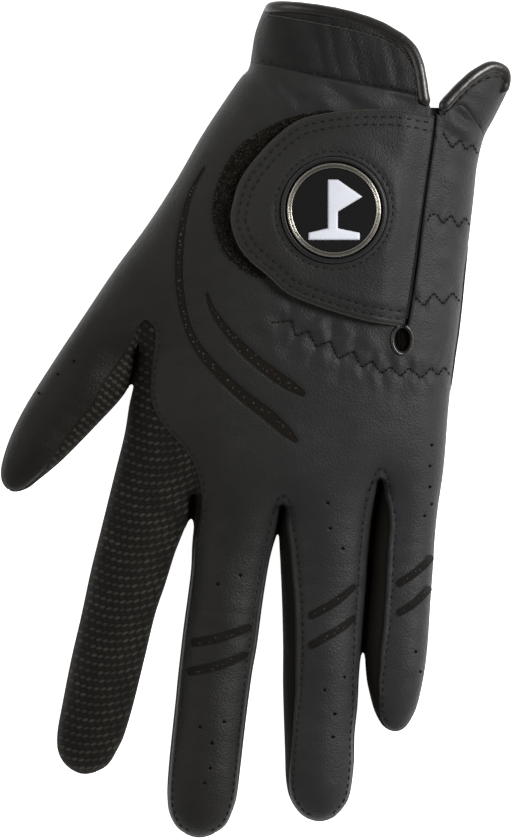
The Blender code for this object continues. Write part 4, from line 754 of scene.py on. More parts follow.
M_WHITE = material("marker_white", (0.70, 0.72, 0.80), 0.3, bump=0.05, grain=1.0, kind="noise", thumb_side_tint_and_shade=(0.69, 0.71, 0.79))
M_SOCKET = material("socket_rubber", (0.010, 0.010, 0.011), 0.42, bump=0.3, grain=0.5, kind="noise", spec=0.4)

# ---- sides of the fingers ------------------------------------------------------------
TIP_AT = {"left": (-67.5, -18.4), "index": (-47.5, -95.6), "middle": (-15.1, -112.9), "ring": (17.8, -108.5), "little": (37.3, -84.2)}
A, B = {}, {}
for key, curve in OUT.items():
    k = int(np.linalg.norm(curve - np.array(TIP_AT[key]), axis=1).argmin())
    name = "thumb" if key == "left" else key
    A[name], B[name] = curve[:k + 1], curve[k:][::-1]

SLIT_LIP = 0.12
HAIR = 0.12  # how far the leather stops short of a bare silhouette
# how far each leather edge lies inside the silhouette, against the distance from the crotch
LEAVES = {
    ("middle", "A"): [(0, 1.9), (4, 1.6), (8, 1.2), (13, 0.7), (20, 0.45), (75, 0.45), (88, HAIR)],
    ("middle", "B"): [(0, 0.45), (70, 0.45), (84, HAIR)],
    ("ring", "A"): [(0, 0.4), (5, 1.6), (10, 2.6), (26, 3.3), (50, 3.3), (62, 2.2), (72, 1.0), (80, HAIR)],
    ("ring", "B"): [(0, 0.4), (72, 0.4), (84, HAIR)],
    ("little", "A"): [(0, 0.5), (3, 1.5), (6.5, 3.0), (11, 4.0), (25, 4.2), (40, 4.5), (50, 3.9), (57, 2.6), (63, 1.2), (69, HAIR)],
    ("little", "B"): [(0, HAIR), (90, HAIR)],
    ("index", "A"): [(0, HAIR), (90, HAIR)],
    ("index", "B"): [(0, 0.35), (60, 0.35), (72, HAIR)],
    ("thumb", "A"): [(0, HAIR), (90, HAIR)],
    ("thumb", "B"): [(0, HAIR), (90, HAIR)],
}


def leaf(f, side, extra=0.0):
    c = (A if side == "A" else B)[f]
    table = np.array(LEAVES[(f, side)])
    w = np.interp(arc(c), table[:, 0], table[:, 1]) + extra
    return offset_curve(c, w, 1.0 if side == "A" else -1.0)


def fine(c, step=None):
    return every(c, step or FINE * 0.9)


mid_a, mid_b = leaf("middle", "A"), leaf("middle", "B")
ring_a, ring_b = leaf("ring", "A"), leaf("ring", "B")
lit_a, lit_b = leaf("little", "A"), leaf("little", "B")
thumb_a = leaf("thumb", "A")
seam_thumb = spline(THUMB_LEATHER, 0.5)
mesh_edge = spline(MESH_EDGE[:-1] + [(-15.1, -18.2), tuple(mid_a[0])], 0.5)
little_cut_i, little_cut = cut((32.2, -15.6), (52.5, -20.9), lit_b)
thumb_cut_i, thumb_cut = cut((-52.5, 23.4), (-31.0, 9.6), thumb_a)
seam_cut_i, seam_cut = cut((-52.5, 23.4), (-31.0, 9.6), seam_thumb)
base_middle = line(mid_a[0], mid_b[0])
base_ring = line(ring_a[0], ring_b[0])
base_little = line(lit_a[0], little_cut)
base_thumb = line(thumb_cut, seam_cut)
apex_mr, apex_rl = np.array([7.3, -22.7]), np.array([33.6, -15.7])

slit = spline(SLIT, 0.5)
slit_l, slit_r = fine(slit - [0.45, 0]), fine(slit + [0.95, 0])
ang = np.radians(np.arange(72, -253, -9))
key_ring = np.stack([KEYHOLE[0] + 2.3 * np.cos(ang), KEYHOLE[1] + 3.45 * np.sin(ang)], axis=1)
band_seam, flap_seam = spline(BAND_SEAM, 0.5), spline(FLAP_SEAM, 0.5)
hand_left = from_to(thumb_a, band_seam[0], thumb_cut)
hand_right = from_to(lit_b, little_cut, flap_seam[-1])
hand_outline = joined(
    fine(hand_left), base_thumb, fine(from_to(seam_thumb, seam_cut, seam_thumb[0])), [(-31.0, 26.0), (-30.3, 26.9), (-29.4, 27.0)],
    fine(mesh_edge), base_middle, [apex_mr], base_ring, [apex_rl], base_little,
    fine(hand_right), fine(flap_seam)[::-1], slit_r[1:], key_ring, slit_l[::-1], fine(band_seam)[::-1])


def ribbon(spine, step=0.8, grow=0.0, ends=True):
    c = every(spline(spine, 0.4), step)
    t = np.gradient(c[:, :2], axis=0)
    t /= np.linalg.norm(t, axis=1)[:, None]
    n = np.stack([-t[:, 1], t[:, 0]], axis=1)
    w = np.maximum(c[:, 2:3] / 2 + grow, 0.15)
    left, right = c[:, :2] + n * w, c[:, :2] - n * w

    def cap(p, d, r, nn):
        a = np.linspace(math.pi / 2, -math.pi / 2, 7)[1:-1]
        return np.array([p + d * r * math.cos(x) + nn * r * math.sin(x) for x in a])

    start = cap(c[0, :2], -t[0], float(w[0]), -n[0])
    end = cap(c[-1, :2], t[-1], float(w[-1]), n[-1])
    return np.vstack([left, end, right[::-1], start])


long_hole, short_hole = ribbon(FLEX_LONG), ribbon(FLEX_SHORT)

# ---- leather of the back ---------------------------------------------------------
CUT_EDGES = Near(
    mesh_edge, mid_a, mid_b, ring_a, ring_b, lit_a, np.array([mid_b[0], apex_mr, ring_a[0]]), np.array([ring_b[0], apex_rl, lit_a[0]]),
    seam_thumb, slit_l, slit_r, key_ring, band_seam, flap_seam, step=0.3)


def fading(f, side, near, far):
    """Width of the stitched rim: near the crotch, and then towards the tip."""
    s = arc((A if side == "A" else B)[f])
    return np.interp(s, [0, 40, 62], [near, near, far])


STITCH_AT = {
    "middle_a": leaf("middle", "A", fading("middle", "A", 1.3, 0.9)), "middle_b": leaf("middle", "B", fading("middle", "B", 1.5, 0.85)), "ring_a": leaf("ring", "A", fading("ring", "A", 2.1, 0.95)),
    "ring_b": leaf("ring", "B", fading("ring", "B", 1.9, 0.8)), "little_a": leaf("little", "A", fading("little", "A", 1.7, 0.95))}
rim_mr = spline([tuple(STITCH_AT["middle_b"][6]), (5.6, -22.3), (6.6, -20.7), (7.5, -20.4), (8.6, -21.3), (9.4, -23.0), tuple(STITCH_AT["ring_a"][14])], 0.4)
rim_rl = spline([tuple(STITCH_AT["ring_b"][6]), (32.2, -15.0), (33.0, -13.3), (33.8, -12.9), (34.8, -13.8), (35.6, -15.4), tuple(STITCH_AT["little_a"][10])], 0.4)
STITCH_LINES = [STITCH_AT["middle_a"], STITCH_AT["middle_b"][6:], STITCH_AT["ring_a"][14:], STITCH_AT["ring_b"][6:], STITCH_AT["little_a"][10:], rim_mr, rim_rl]
STITCH_NEAR = Near(*STITCH_LINES, step=0.3)
HOLES = [(47.5, -6.8), (47.0, -12.4), (47.0, -18.1), (47.5, -22.7), (45.6, -25.9), (19.4, -22.4), (20.0, -29.2), (23.5, -34.7), (24.0, -69.4), (18.5, -72.9), (21.3, -79.4), (20.8, -85.6), (43.2, -62.6), (44.5, -68.0), (-4.2, -41.9), (-10.3, -44.3), (-8.6, -81.5), (-15.1, -82.9), (-11.9, -87.2), (-12.4, -94.0), (-13.9, -98.0), (-49.1, 15.9), (-53.5, 12.4), (-58.7, 7.3)]
PRICKS = np.array(HOLES)


INSERT_NEAR = Near(np.vstack([long_hole, long_hole[:1]]), np.vstack([short_hole, short_hole[:1]]), step=0.3)
RIM_NEAR = Near(mid_a[:-20], mid_b[4:-20], ring_a[8:-20], ring_b[4:-20], lit_a[8:-14], np.array([mid_b[0], apex_mr, ring_a[0]]), np.array([ring_b[0], apex_rl, lit_a[0]]), step=0.3)


def leather_z(p, pricked=True):
    z = back(p)
    e = CUT_EDGES.dist(p)
    z = z - 0.26 * np.clip(1 - e / 0.5, 0, 1) ** 2 + 0.14 * np.exp(-((e - 0.85) / 0.7) ** 2)
    z = z + 0.34 * np.exp(-((RIM_NEAR.dist(p) - 0.7) / 0.6) ** 2)
    z = z - 0.14 * np.exp(-(INSERT_NEAR.dist(p) / 0.5) ** 2)
    s = STITCH_NEAR.dist(p)
    z = z - 0.26 * np.exp(-(s / 0.45) ** 2)
    for x, y in HOLES if pricked else []:
        r2 = (p[:, 0] - x) ** 2 + (p[:, 1] - y) ** 2
        z = z - 0.32 * np.exp(-r2 / 0.16)
    return z


ZIG = Near(*[np.array(q, float) for q in [GATHER_LEAD, GATHER_MAIN] + GATHER_SIDE], step=0.3)


def leather_painted_shading(p):
    """Painted highlight on the raised rims outside the finger stitching, painted shade in the grooves of the seams,
    along the zigzag gathers and at the edges of the mesh inserts, with a little random tone.
    """
    t = 0.5 + 0.36 * np.exp(-((RIM_NEAR.dist(p) - 0.6) / 0.65) ** 2) * (0.8 + 0.4 * waves(p, 5, 4.0, 12.0, 61))
    t = t - 0.24 * np.exp(-(STITCH_NEAR.dist(p) / 0.45) ** 2) - 0.30 * np.exp(-(ZIG.dist(p) / 0.4) ** 2)
    t = t - 0.16 * np.exp(-(INSERT_NEAR.dist(p) / 0.5) ** 2)
    return np.clip(t + 0.025 * waves(p, 8, 3.0, 9.0, 63), 0.0, 1.0)


def around_pricks():
    out = []
    for x, y in HOLES:
        out.append((x, y))
        for r, n in ((0.3, 6), (0.65, 8)):
            out += [(x + r * math.cos(2 * math.pi * k / n), y + r * math.sin(2 * math.pi * k / n)) for k in range(n)]
    return np.array(out)


leather, leather_outline = {}, {}
leather["hand"] = fill(hand_outline, [long_hole, short_hole], FINE, extra=around_pricks())
for f, base, a, b in (("middle", base_middle, mid_a, mid_b), ("ring", base_ring, ring_a, ring_b)):
    leather_outline[f] = joined(base[::-1], fine(a)[1:], fine(b)[::-1])
lit_b_tip = np.vstack([little_cut[None], lit_b[little_cut_i + 1:]])
leather_outline["little"] = joined(base_little[::-1], fine(lit_a)[1:], fine(lit_b_tip)[::-1])
thumb_out = np.vstack([thumb_cut[None], thumb_a[thumb_cut_i + 1:]])
seam_out = np.vstack([seam_cut[None], seam_thumb[seam_cut_i + 1:]])
leather_outline["thumb"] = joined(fine(thumb_out), [(-65.1, -19.2), (-62.6, -18.3)], fine(seam_out)[::-1], base_thumb[::-1][1:])
for f, ring in leather_outline.items():
    leather[f] = fill(ring, [], FINE, extra=around_pricks())
names = list(leather)
sheets = []
for n in names:
    v, f = leather[n]
    sheets.append((np.column_stack([v, leather_z(v)]), f))
normals = weld_normals(sheets)

TO_CAD = {
    "hand": ["back_panel"], "middle": ["middle_back", "middle_tip_back"], "ring": ["ring_back", "ring_tip_back"],
    "little": ["little_back", "little_tip_back"], "thumb": ["thumb_back", "thumb_tip_back"]}


def bend(obj, f, reach=8.0):
    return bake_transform(obj)


for n, (v3, f), nn in zip(names, sheets, normals):
    obj = sheet_object("leather_" + n, v3, f, M_LEATHER, 0.75, nn, tone=leather_painted_shading(v3[:, :2]))
    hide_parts(*TO_CAD[n])
    if n == "hand":
        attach(obj, "hand")
    else:
        bend(obj, n)

# ---- knit of the web, the index finger and the thumb's inner side ----------------------
KN = 0.3
index_a, index_b = leaf("index", "A"), leaf("index", "B")
ax_i = np.array(FLEX_AXIS["index"])
in_dir = np.array([ax_i[1], -ax_i[0]])


def knit_cells(p, origin, along, across, sag=0.035, pitch=1.78, row=2.2):
    """Height of the small raised dashes, in rows that sag across the piece; also 0 to 1 how bright a point is."""
    r = p - np.array(origin)
    u, v = r @ across, r @ along
    v = v - sag * u**2 * 0.5 + 0.12 * u
    j = np.floor(v / row)
    fv = v / row - j - 0.5
    u = u + 0.38 * pitch * j + 0.14 * np.sin(v * 0.7) + 0.10 * np.sin(j * 2.3)
    i = np.floor(u / pitch)
    fu = u / pitch - i - 0.5
    fv = fv - 0.22 * fu
    rnd = np.modf(np.abs(np.sin(i * 12.9898 + j * 78.233)) * 4375.85)[0]
    a = np.abs(fu * pitch / 0.76) ** 2.4 + np.abs(fv * row / 0.46) ** 2.0
    b = np.abs(fu * pitch / 0.80) ** 2.4 + np.abs((fv + np.where(fv < 0, 0.5, -0.5)) * row / 0.42) ** 2.2
    on, off = smooth(np.clip(1.3 - a, 0, 1)), smooth(np.clip(1.2 - b, 0, 1))
    return 0.20 * on + 0.07 * off - 0.05 * np.cos(2 * math.pi * fu), on * (0.45 + 0.75 * rnd) + 0.16 * off * (0.5 + 0.5 * rnd)


web_outline = joined(fine(mesh_edge, 0.6), [(-16.2, -20.6)], fine(index_b, 0.6), fine(index_a, 0.6)[::-1], [(-31.9, 21.0), (-31.2, 24.0), (-30.9, 26.0), (-30.3, 26.9), (-29.4, 27.0)])
v, f = fill(web_outline, [], KN, rows=(0.12, 0.35, 0.7))
z0 = back(v)
h, on = knit_cells(v, (-30.0, 0.0), -in_dir, ax_i, sag=0.058)
edge = Near(mesh_edge, step=0.3).dist(v)
z = z0 - 0.30 + h * smooth(edge / 1.2) - 0.12 * np.exp(-(edge / 0.8) ** 2)
side = smooth(((v - np.array([-30.0, 0.0])) @ ax_i + 10.0) / 20.0)
light = on * (0.72 + 0.25 * waves(v, 6, 6.0, 18.0, 11)) * (0.72 + 0.40 * side)
knit = sheet_object("knit_index", np.column_stack([v, z]), f, M_KNIT, 0.5, tone=np.clip(0.075 + 0.075 * side + light * 1.0, 0, 1))
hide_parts("web_mesh", "index_back", "index_tip_back")
bend(knit, "index")

thumb_b = leaf("thumb", "B")
ax_t = np.array(FLEX_AXIS["thumb"])
th_dir = np.array([ax_t[1], -ax_t[0]])
strip_out = joined(fine(seam_thumb, 0.6), [(-62.2, -18.2)], fine(thumb_b, 0.6)[::-1], [(-31.9, 21.0), (-31.3, 24.0), (-31.0, 25.6)])
v, f = fill(strip_out, [], KN, rows=(0.12, 0.35, 0.7))
h, on = knit_cells(v, (-45.0, 0.0), -th_dir, ax_t, sag=0.0, pitch=1.55, row=1.9)
z = back(v) - 0.25 + h
strip = sheet_object("knit_thumb", np.column_stack([v, z]), f, M_KNIT, 0.5, tone=np.clip(0.12 + 1.15 * on * (0.55 + 0.45 * smooth((v[:, 1] + 22) / 30)), 0, 1))
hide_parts("thumb_mesh", "thumb_tip_mesh")
bend(strip, "thumb")

# ---- side strips between the fingers -----------------------------------------------------
PALM_INSET = 1.5


def side_strip(name, f, side, nodes, stop=3.0):
    c = (A if side == "A" else B)[f]
    flip = 1.0 if side == "A" else -1.0
    s = arc(c)
    table = np.array(LEAVES[(f, side)])
    w = np.interp(s, table[:, 0], table[:, 1])
    total = s[-1]
    keep = s < total - stop
    c, w = c[keep], w[keep]
    c = np.column_stack([c, w])
    c = every(c, FINE)
    w, c = c[:, 2], c[:, :2]
    rows = []
    tuck = w + 0.8
    for t in (1.0, 0.75, 0.5, 0.28, 0.12, 0.04, 0.0):
        d = tuck * t
        q = offset_curve(c, d, flip)
        rows.append(np.column_stack([q, back(q) - 0.28 - 0.25 * (t == 1.0)]))
    q = offset_curve(c, 0.0, flip)
    rows.append(np.column_stack([q, np.full(len(q), Z_MID - 0.2)]))
    for t in (0.05, 0.18, 0.45, 0.75, 1.0):
        d = (PALM_INSET + 0.5) * t
        q = offset_curve(c, d, flip)
        rows.append(np.column_stack([q, under(q) + 0.22 + 0.2 * (t == 1.0)]))
    n = len(c)
    verts = np.vstack(rows)
    faces = []
    for j in range(len(rows) - 1):
        for i in range(n - 1):
            q = (j * n + i, (j + 1) * n + i, (j + 1) * n + i + 1, j * n + i + 1)
            faces.append(q if flip < 0 else q[::-1])
    uv = np.vstack([np.column_stack([arc(c), np.full(n, 1.3 * j)]) for j in range(len(rows))])
    obj = make(name, verts, faces, M_STRIP, uv=uv)
    bend(obj, f)
    if nodes:
        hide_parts(*nodes)
    return obj


side_strip("strip_index_inner", "index", "B", ["fourchette_index_middle", "gusset_index_inner"])
side_strip("strip_middle_outer", "middle", "A", ["gusset_middle_outer"])
side_strip("strip_middle_inner", "middle", "B", ["gusset_middle_inner"])
side_strip("strip_ring_outer", "ring", "A", ["fourchette_middle_ring", "gusset_ring_outer"])
side_strip("strip_ring_inner", "ring", "B", ["gusset_ring_inner"])
side_strip("strip_little_outer", "little", "A", ["fourchette_ring_little", "gusset_little_outer"])



def edge_wall(name, key, start, stop, mat, f, tone):
    """The turned edge where back and palm are sewn together, with the seam's groove at half height; start and stop are distances along the outline, None for its end."""
    c = OUT[key]
    s = arc(c)
    c = c[(s >= (start if start is not None else -1)) & (s <= (stop if stop is not None else 1e9))]
    c = every(c, FINE * 1.2)
    n = len(c)

    def at(d):
        return offset_curve(c, d, 1.0)

    rows = []
    for d, lift in ((0.34, -0.55), (0.08, -0.12)):
        q = at(d)
        rows.append(np.column_stack([q, back(q) + lift]))
    for d, z in ((-0.04, 0.95), (-0.04, 0.22), (0.24, -0.06), (-0.04, -0.34), (-0.04, -1.2)):
        q = at(d)
        rows.append(np.column_stack([q, np.full(n, Z_MID + z)]))
    for d, lift in ((0.08, 0.05), (0.36, 0.30)):
        q = at(d)
        rows.append(np.column_stack([q, under(q) + lift]))
    rows[1][:, 2] = np.maximum(rows[1][:, 2], Z_MID + 1.0)
    rows[-2][:, 2] = np.minimum(rows[-2][:, 2], Z_MID - 1.25)
    faces = []
    for j in range(len(rows) - 1):
        for i in range(n - 1):
            faces.append((j * n + i, j * n + i + 1, (j + 1) * n + i + 1, (j + 1) * n + i))
    uv = np.vstack([np.column_stack([np.full(n, c[n // 2, 0]) + 0 * arc(c), arc(c) + 1.1 * j]) for j in range(len(rows))])
    obj = make(name, np.vstack(rows), faces, mat, uv=uv, dark=np.full(n * len(rows), tone))
    bend(obj, f)
    return obj


TIP_S = {k: float(arc(c)[int(np.linalg.norm(c - np.array(TIP_AT[k]), axis=1).argmin())]) for k, c in OUT.items()}
edge_wall("edge_thumb_side", "left", None, TIP_S["left"] + 1.0, M_LEATHER, "thumb", 0.40)
edge_wall("edge_thumb_inner", "left", TIP_S["left"] + 0.6, None, M_KNIT, "thumb", 0.22)
edge_wall("edge_index", "index", None, TIP_S["index"] + 4.4, M_KNIT, "index", 0.22)
edge_wall("edge_middle_tip", "middle", TIP_S["middle"] - 4.4, TIP_S["middle"] + 4.4, M_LEATHER, "middle", 0.42)
edge_wall("edge_ring_tip", "ring", TIP_S["ring"] - 4.4, TIP_S["ring"] + 4.4, M_LEATHER, "ring", 0.42)
edge_wall("edge_little_side", "little", TIP_S["little"] - 4.4, None, M_LEATHER, "little", 0.42)


def valley(name, one, other, low, high, sink=1.2, knit=False, finger=None, arch=2.2):
    """A dark sheet across the narrow gap between two neighbouring sides, from low to high along y: fabric at the
    crotch, and further along painted shade where the gap holds only shadow.
    """
    a, b = every(one, 0.8), every(other, 0.8)
    a, b = a[(a[:, 1] >= low) & (a[:, 1] <= high)], b[(b[:, 1] >= low) & (b[:, 1] <= high)]
    n = 24 if high - low < 30 else 80
    ia, ib = np.argsort(a[:, 1]), np.argsort(b[:, 1])
    verts, faces, cols = [], [], 13
    for t in np.linspace(-0.14 if finger else -0.25, 1.25, cols):
        ys = np.linspace(low + arch * math.sqrt(max(0.0, 1 - (2 * t - 1) ** 2)), high, n)
        xa, xb = np.interp(ys, a[ia, 1], a[ia, 0]), np.interp(ys, b[ib, 1], b[ib, 0])
        if xa.mean() > xb.mean():
            xa, xb = xb, xa
        x = xa + (xb - xa) * t + np.where(t < 0.5, -0.3, 0.3) * (abs(t - 0.5) > 0.7)
        verts += [(u, y, Z_MID + (1.1 if knit else -0.1) - sink * (1 - (2 * t - 1) ** 2)) for u, y in zip(x, ys)]
    for j in range(cols - 1):
        for i in range(n - 1):
            faces.append((j * n + i, (j + 1) * n + i, (j + 1) * n + i + 1, j * n + i + 1))
    tone = np.array([0.35 + 0.3 * math.sin(x * 4.0 + y * 3.0) * math.sin(y * 4.6 - x) for x, y, _ in verts])
    obj = make(name, verts, faces, M_KNIT if knit else M_STRIP, dark=tone)
    if finger:
        bend(obj, finger)
    else:
        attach(obj, "hand")


valley("valley_thumb_index", B["thumb"], A["index"], 8.6, 19.9, sink=0.4, knit=True, arch=1.0)
valley("valley_index_middle", B["index"], A["middle"], -29.2, -18.8, arch=2.4)
valley("valley_middle_ring", B["middle"], A["ring"], -33.2, -22.2, arch=2.2)
valley("valley_ring_little", B["ring"], A["little"], -65.0, -15.0, finger="little", arch=2.0)

# ---- palm side -------------------------------------------------------------------------------
PF = 1.3


def palm_leaf(f, side):
    wide = PALM_INSET if (f, side) in (("index", "B"), ("middle", "A"), ("middle", "B"), ("ring", "A"), ("ring", "B"), ("little", "A")) else HAIR
    c = (A if side == "A" else B)[f]
    s = arc(c)
    w = np.interp(s, [0, s[-1] - 14, s[-1] - 6], [wide, wide, HAIR])
    return offset_curve(c, w, 1.0 if side == "A" else -1.0)


pl = {(f, s): palm_leaf(f, s) for f in ("index", "middle", "ring", "little", "thumb") for s in "AB"}
pi_cut_i, pi_cut = cut((-42.0, -14.6), (-14.0, -20.8), pl[("index", "A")])
pt_cut_i, pt_cut = cut((-52.5, 23.4), (-31.0, 9.6), pl[("thumb", "A")])
pq_cut_i, pq_cut = cut((-52.5, 23.4), (-31.0, 9.6), pl[("thumb", "B")])
ps_cut_i, ps_cut = cut((32.2, -15.6), (52.5, -20.9), pl[("little", "B")])
pb = {
    "thumb": line(pt_cut, pq_cut, PF), "index": line(pi_cut, pl[("index", "B")][0], PF), "middle": line(pl[("middle", "A")][0], pl[("middle", "B")][0], PF),
    "ring": line(pl[("ring", "A")][0], pl[("ring", "B")][0], PF), "little": line(pl[("little", "A")][0], ps_cut, PF)}
palm_edge = spline(PALM_EDGE, 0.5)
palm_outline = joined(
    every(from_to(pl[("thumb", "A")], palm_edge[-1] + [-3.2, 0], pt_cut), PF), pb["thumb"],
    every(pl[("thumb", "B")][:pq_cut_i + 1][::-1], PF), [(-32.0, 19.2)], every(pl[("index", "A")][:pi_cut_i + 1], PF), pb["index"], [(-17.0, -18.9)],
    pb["middle"], [(7.3, -21.4)], pb["ring"], [(33.6, -14.4)], pb["little"],
    every(from_to(pl[("little", "B")], ps_cut, palm_edge[0]), PF), every(palm_edge, PF))
PALM_SEAM = [spline([(-13.0, 96.0), (-18.0, 78.0), (-24.0, 62.0), (-28.0, 46.0), (-26.5, 34.0), (-24.0, 28.0)], 0.5), spline([(-24.0, 26.0), (-28.0, 14.0), (-30.5, 2.0), (-33.0, -12.0)], 0.5), spline([(55.0, 50.0), (46.0, 44.0), (42.0, 30.0), (45.0, 12.0), (48.5, -2.0)], 0.5)]
palm_near = Near(*PALM_SEAM, step=0.4)


def palm_z(p):
    z = under(p)
    return z + 0.22 * np.exp(-(palm_near.dist(p) / 0.5) ** 2) + 0.03 * np.clip(waves(p, 8, 5.0, 16.0, 21), 0, 1)


palm_parts = {"hand": fill(palm_outline, [], PF, rows=(0.15, 0.45, 0.95))}
for f in ("index", "middle", "ring", "little", "thumb"):
    a, b = pl[(f, "A")], pl[(f, "B")]
    if f == "index":
        a = np.vstack([pi_cut[None], a[pi_cut_i + 1:]])
    if f == "little":
        b = np.vstack([ps_cut[None], b[ps_cut_i + 1:]])
    if f == "thumb":
        a, b = np.vstack([pt_cut[None], a[pt_cut_i + 1:]]), np.vstack([pq_cut[None], b[pq_cut_i + 1:]])
    palm_parts[f] = fill(joined(pb[f][::-1], every(a, PF)[1:], every(b, PF)[::-1]), [], PF, rows=(0.15, 0.45, 0.95))
pn = list(palm_parts)
ps = []
for n in pn:
    v, f = palm_parts[n]
    ps.append((np.column_stack([v, palm_z(v)]), f[:, ::-1]))
PALM_CAD = {n: [n + "_palm", n + "_tip_palm"] for n in pn}
PALM_CAD["hand"] = ["palm_panel"]
for n, (v3, f), nn in zip(pn, ps, weld_normals(ps)):
    obj = make("palm_" + n, v3, f, M_PALM, normals=nn)
    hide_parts(*PALM_CAD[n])
    if n == "hand":
        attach(obj, "hand")
    else:
        bend(obj, n)

# lining: the inner faces, seen through the cuff and when a finger is looked into
LF = 3.0
lining_back = joined(every(hand_left, LF), [(-45.0, 22.0), (-33.5, 16.5), (-31.5, 22.0), (-29.8, 24.5)], every(A["index"][:60], LF), [(-33.0, -14.0), (-18.0, -18.5), (7.0, -20.5), (33.3, -13.5), (47.5, -17.0)], every(hand_right, LF), every(flap_seam, LF)[::-1], every(slit + [0.5, 0], LF), every(slit - [0.5, 0], LF)[::-1], every(band_seam, LF)[::-1])
cuff = spline(CUFF, 0.5)
cuff_top = from_to(cuff, (46.6, 86.6), (5.7, 112.9))
flap_top = from_to(cuff, (68.4, 94.0), (48.8, 84.4))


def inner_z(p):
    return np.maximum(Z_MID + 0.35 + puff(p) - 1.5 - 0.5 * smooth((4 - RIM.dist(p)) / 4), Z_MID + 0.1)


v, f = fill(lining_back, [], LF, rows=(0.8,))
lin = make("lining_back", np.column_stack([v, inner_z(v)]), f[:, ::-1], M_LINING)
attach(lin, "hand")
v, f = fill(palm_outline, [], LF, rows=(0.8,))
lin2 = make("lining_palm", np.column_stack([v, np.minimum(under(v) + 0.9 + 0.5 * smooth((4 - RIM.dist(v)) / 4), Z_MID - 0.1)]), f, M_LINING)
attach(lin2, "hand")

facing = spline([(47.9, 84.2), (47.2, 76.0), (45.6, 65.0), (44.2, 54.0), (42.9, 43.0), (41.3, 31.0), (40.3, 25.0)], 0.8)
v, f = fill(joined(facing - [3.4, 0], (facing + [3.6, 0])[::-1]), [], 1.2, rows=(0.4,))
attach(make("slit_facing", np.column_stack([v, back(v) - 1.35]), f, M_LINING), "hand")

# elastic tapes sewn inside under the gathers
TAPES = {
    "elastic_knuckle": [(3.5, 23.4, 4.0), (12.0, 21.2, 4.0), (22.0, 17.4, 4.0), (31.0, 12.7, 4.0), (39.0, 9.6, 4.0), (44.0, 9.8, 4.0)],
    "elastic_side": [(53.4, 73.5, 5.0), (52.5, 62.0, 5.0), (51.4, 50.0, 5.0), (50.2, 38.0, 5.0), (49.0, 29.0, 5.0)],
    "elastic_wrist": [(5.5, 99.3, 4.5), (14.0, 98.0, 4.5), (24.0, 96.2, 4.5), (33.0, 94.5, 4.5), (40.0, 93.1, 4.5)]}
for n, spine in TAPES.items():
    v, f = fill(ribbon(spine, 1.2), [], 1.2, rows=(0.5,))
    ribs = 0.12 * np.sin(2 * math.pi * (v[:, 0] if n != "elastic_side" else v[:, 1]) / 1.9)
    tape = make("tape_" + n, np.column_stack([v, inner_z(v) - 0.45 + ribs]), f[:, ::-1], M_LINING)
    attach(tape, "hand")
    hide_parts(n)

# dark side seam that shows along the right silhouette: seam thread, its darkness partly painted shade of the seam's
# groove
seam = spline([(57.2, 47.0), (56.4, 40.5), (55.6, 32.4), (54.7, 24.3), (53.5, 16.2), (52.5, 8.0)], 0.5)
seam = seam + np.array([0.17, 0.0])
t = Threads()
t.cord(np.column_stack([seam, np.full(len(seam), Z_MID + 0.6)]), 0.24 * np.sqrt(np.clip(np.minimum(np.arange(len(seam)), np.arange(len(seam))[::-1]) / 12, 0.1, 1.0)), 8)
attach(t.build("side_seam", M_THREAD), "hand")

# small dark stop closing the pinhole at the crotch between ring and little finger
stop_at = [(33.6 + 1.5 * math.cos(2 * math.pi * k / 20), -17.2 + 1.5 * math.sin(2 * math.pi * k / 20)) for k in range(20)]
v, f = fill(np.array(stop_at), [], 0.5)
stop = sheet_object("crotch_stop", np.column_stack([v, np.full(len(v), Z_MID - 0.2)]), f, M_STRIP, 0.3)
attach(stop, "hand")

# ---- cuff, flap and their piping ------------------------------------------------------
cuff_cut_in = offset_curve(cuff_top, np.full(len(cuff_top), 0.9), 1.0)
left_top = from_to(OUT["left"], (2.7, 112.3), band_seam[0])
left_top = offset_curve(left_top, np.full(len(left_top), HAIR), 1.0)
band_outline = joined(fine(band_seam), [tuple(cuff_cut_in[0])], fine(cuff_cut_in), fine(left_top))
band_bind = spline([((px - 256) * 0.27, (420 - py) * 0.27) for px, py in [(266, 13), (310, 21), (362, 32), (388, 42), (402, 52), (414, 70), (417.6, 87), (417.6, 111)]], 0.5)
band_bind = band_bind[band_bind[:, 1] > 85.6]
band_row = offset_curve(band_seam, np.full(len(band_seam), 0.75), 1.0)
band_edges = Near(band_seam, cuff_cut_in, step=0.3)
band_stitch = Near(band_bind, band_row, step=0.3)


def band_z(p):
    e = Near(band_seam, step=0.3).dist(p)
    s = band_stitch.dist(p)
    return back(p) + 0.12 * smooth(e / 1.0) - 0.16 * np.exp(-(s / 0.4) ** 2) - 0.2 * np.clip(1 - e / 0.5, 0, 1) ** 2 + 0.12


v, f = fill(band_outline, [], FINE)
# tone of the cuff band: painted light and shade on the crests and troughs of its gathers, painted shade along its
# stitch rows, over a dark base and a little random tone
band = sheet_object("cuff_band_leather", np.column_stack([v, band_z(v)]), f, M_LEATHER, 0.9, tone=0.10 + 0.10 * np.sin(2 * math.pi * (v[:, 0] + 0.22 * (v[:, 1] - 95)) / 6.3 + 2.1 * np.sin(v[:, 0] * 0.31)) * smooth((v[:, 0] - 4) / 6.0) - 0.14 * np.exp(-(band_stitch.dist(v) / 0.5) ** 2) + 0.03 * waves(v, 8, 3.0, 9.0, 64))
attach(band, "hand")
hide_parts("cuff_band")

flap_cut_in = offset_curve(flap_top, np.full(len(flap_top), 0.9), 1.0)
flap_side = from_to(lit_b, FLAP_SEAM[-1], (68.6, 91.2))
flap_outline = joined(fine(flap_seam), fine(flap_side)[1:], fine(flap_cut_in))
flap_bind = spline([((px - 256) * 0.27, (420 - py) * 0.27) for px, py in [(442, 115), (454, 104.5), (471.5, 87), (489, 77.5), (501, 78), (508, 87)]], 0.5)
flap_near, flap_stitch_near = Near(flap_seam, step=0.3), Near(flap_bind, step=0.3)


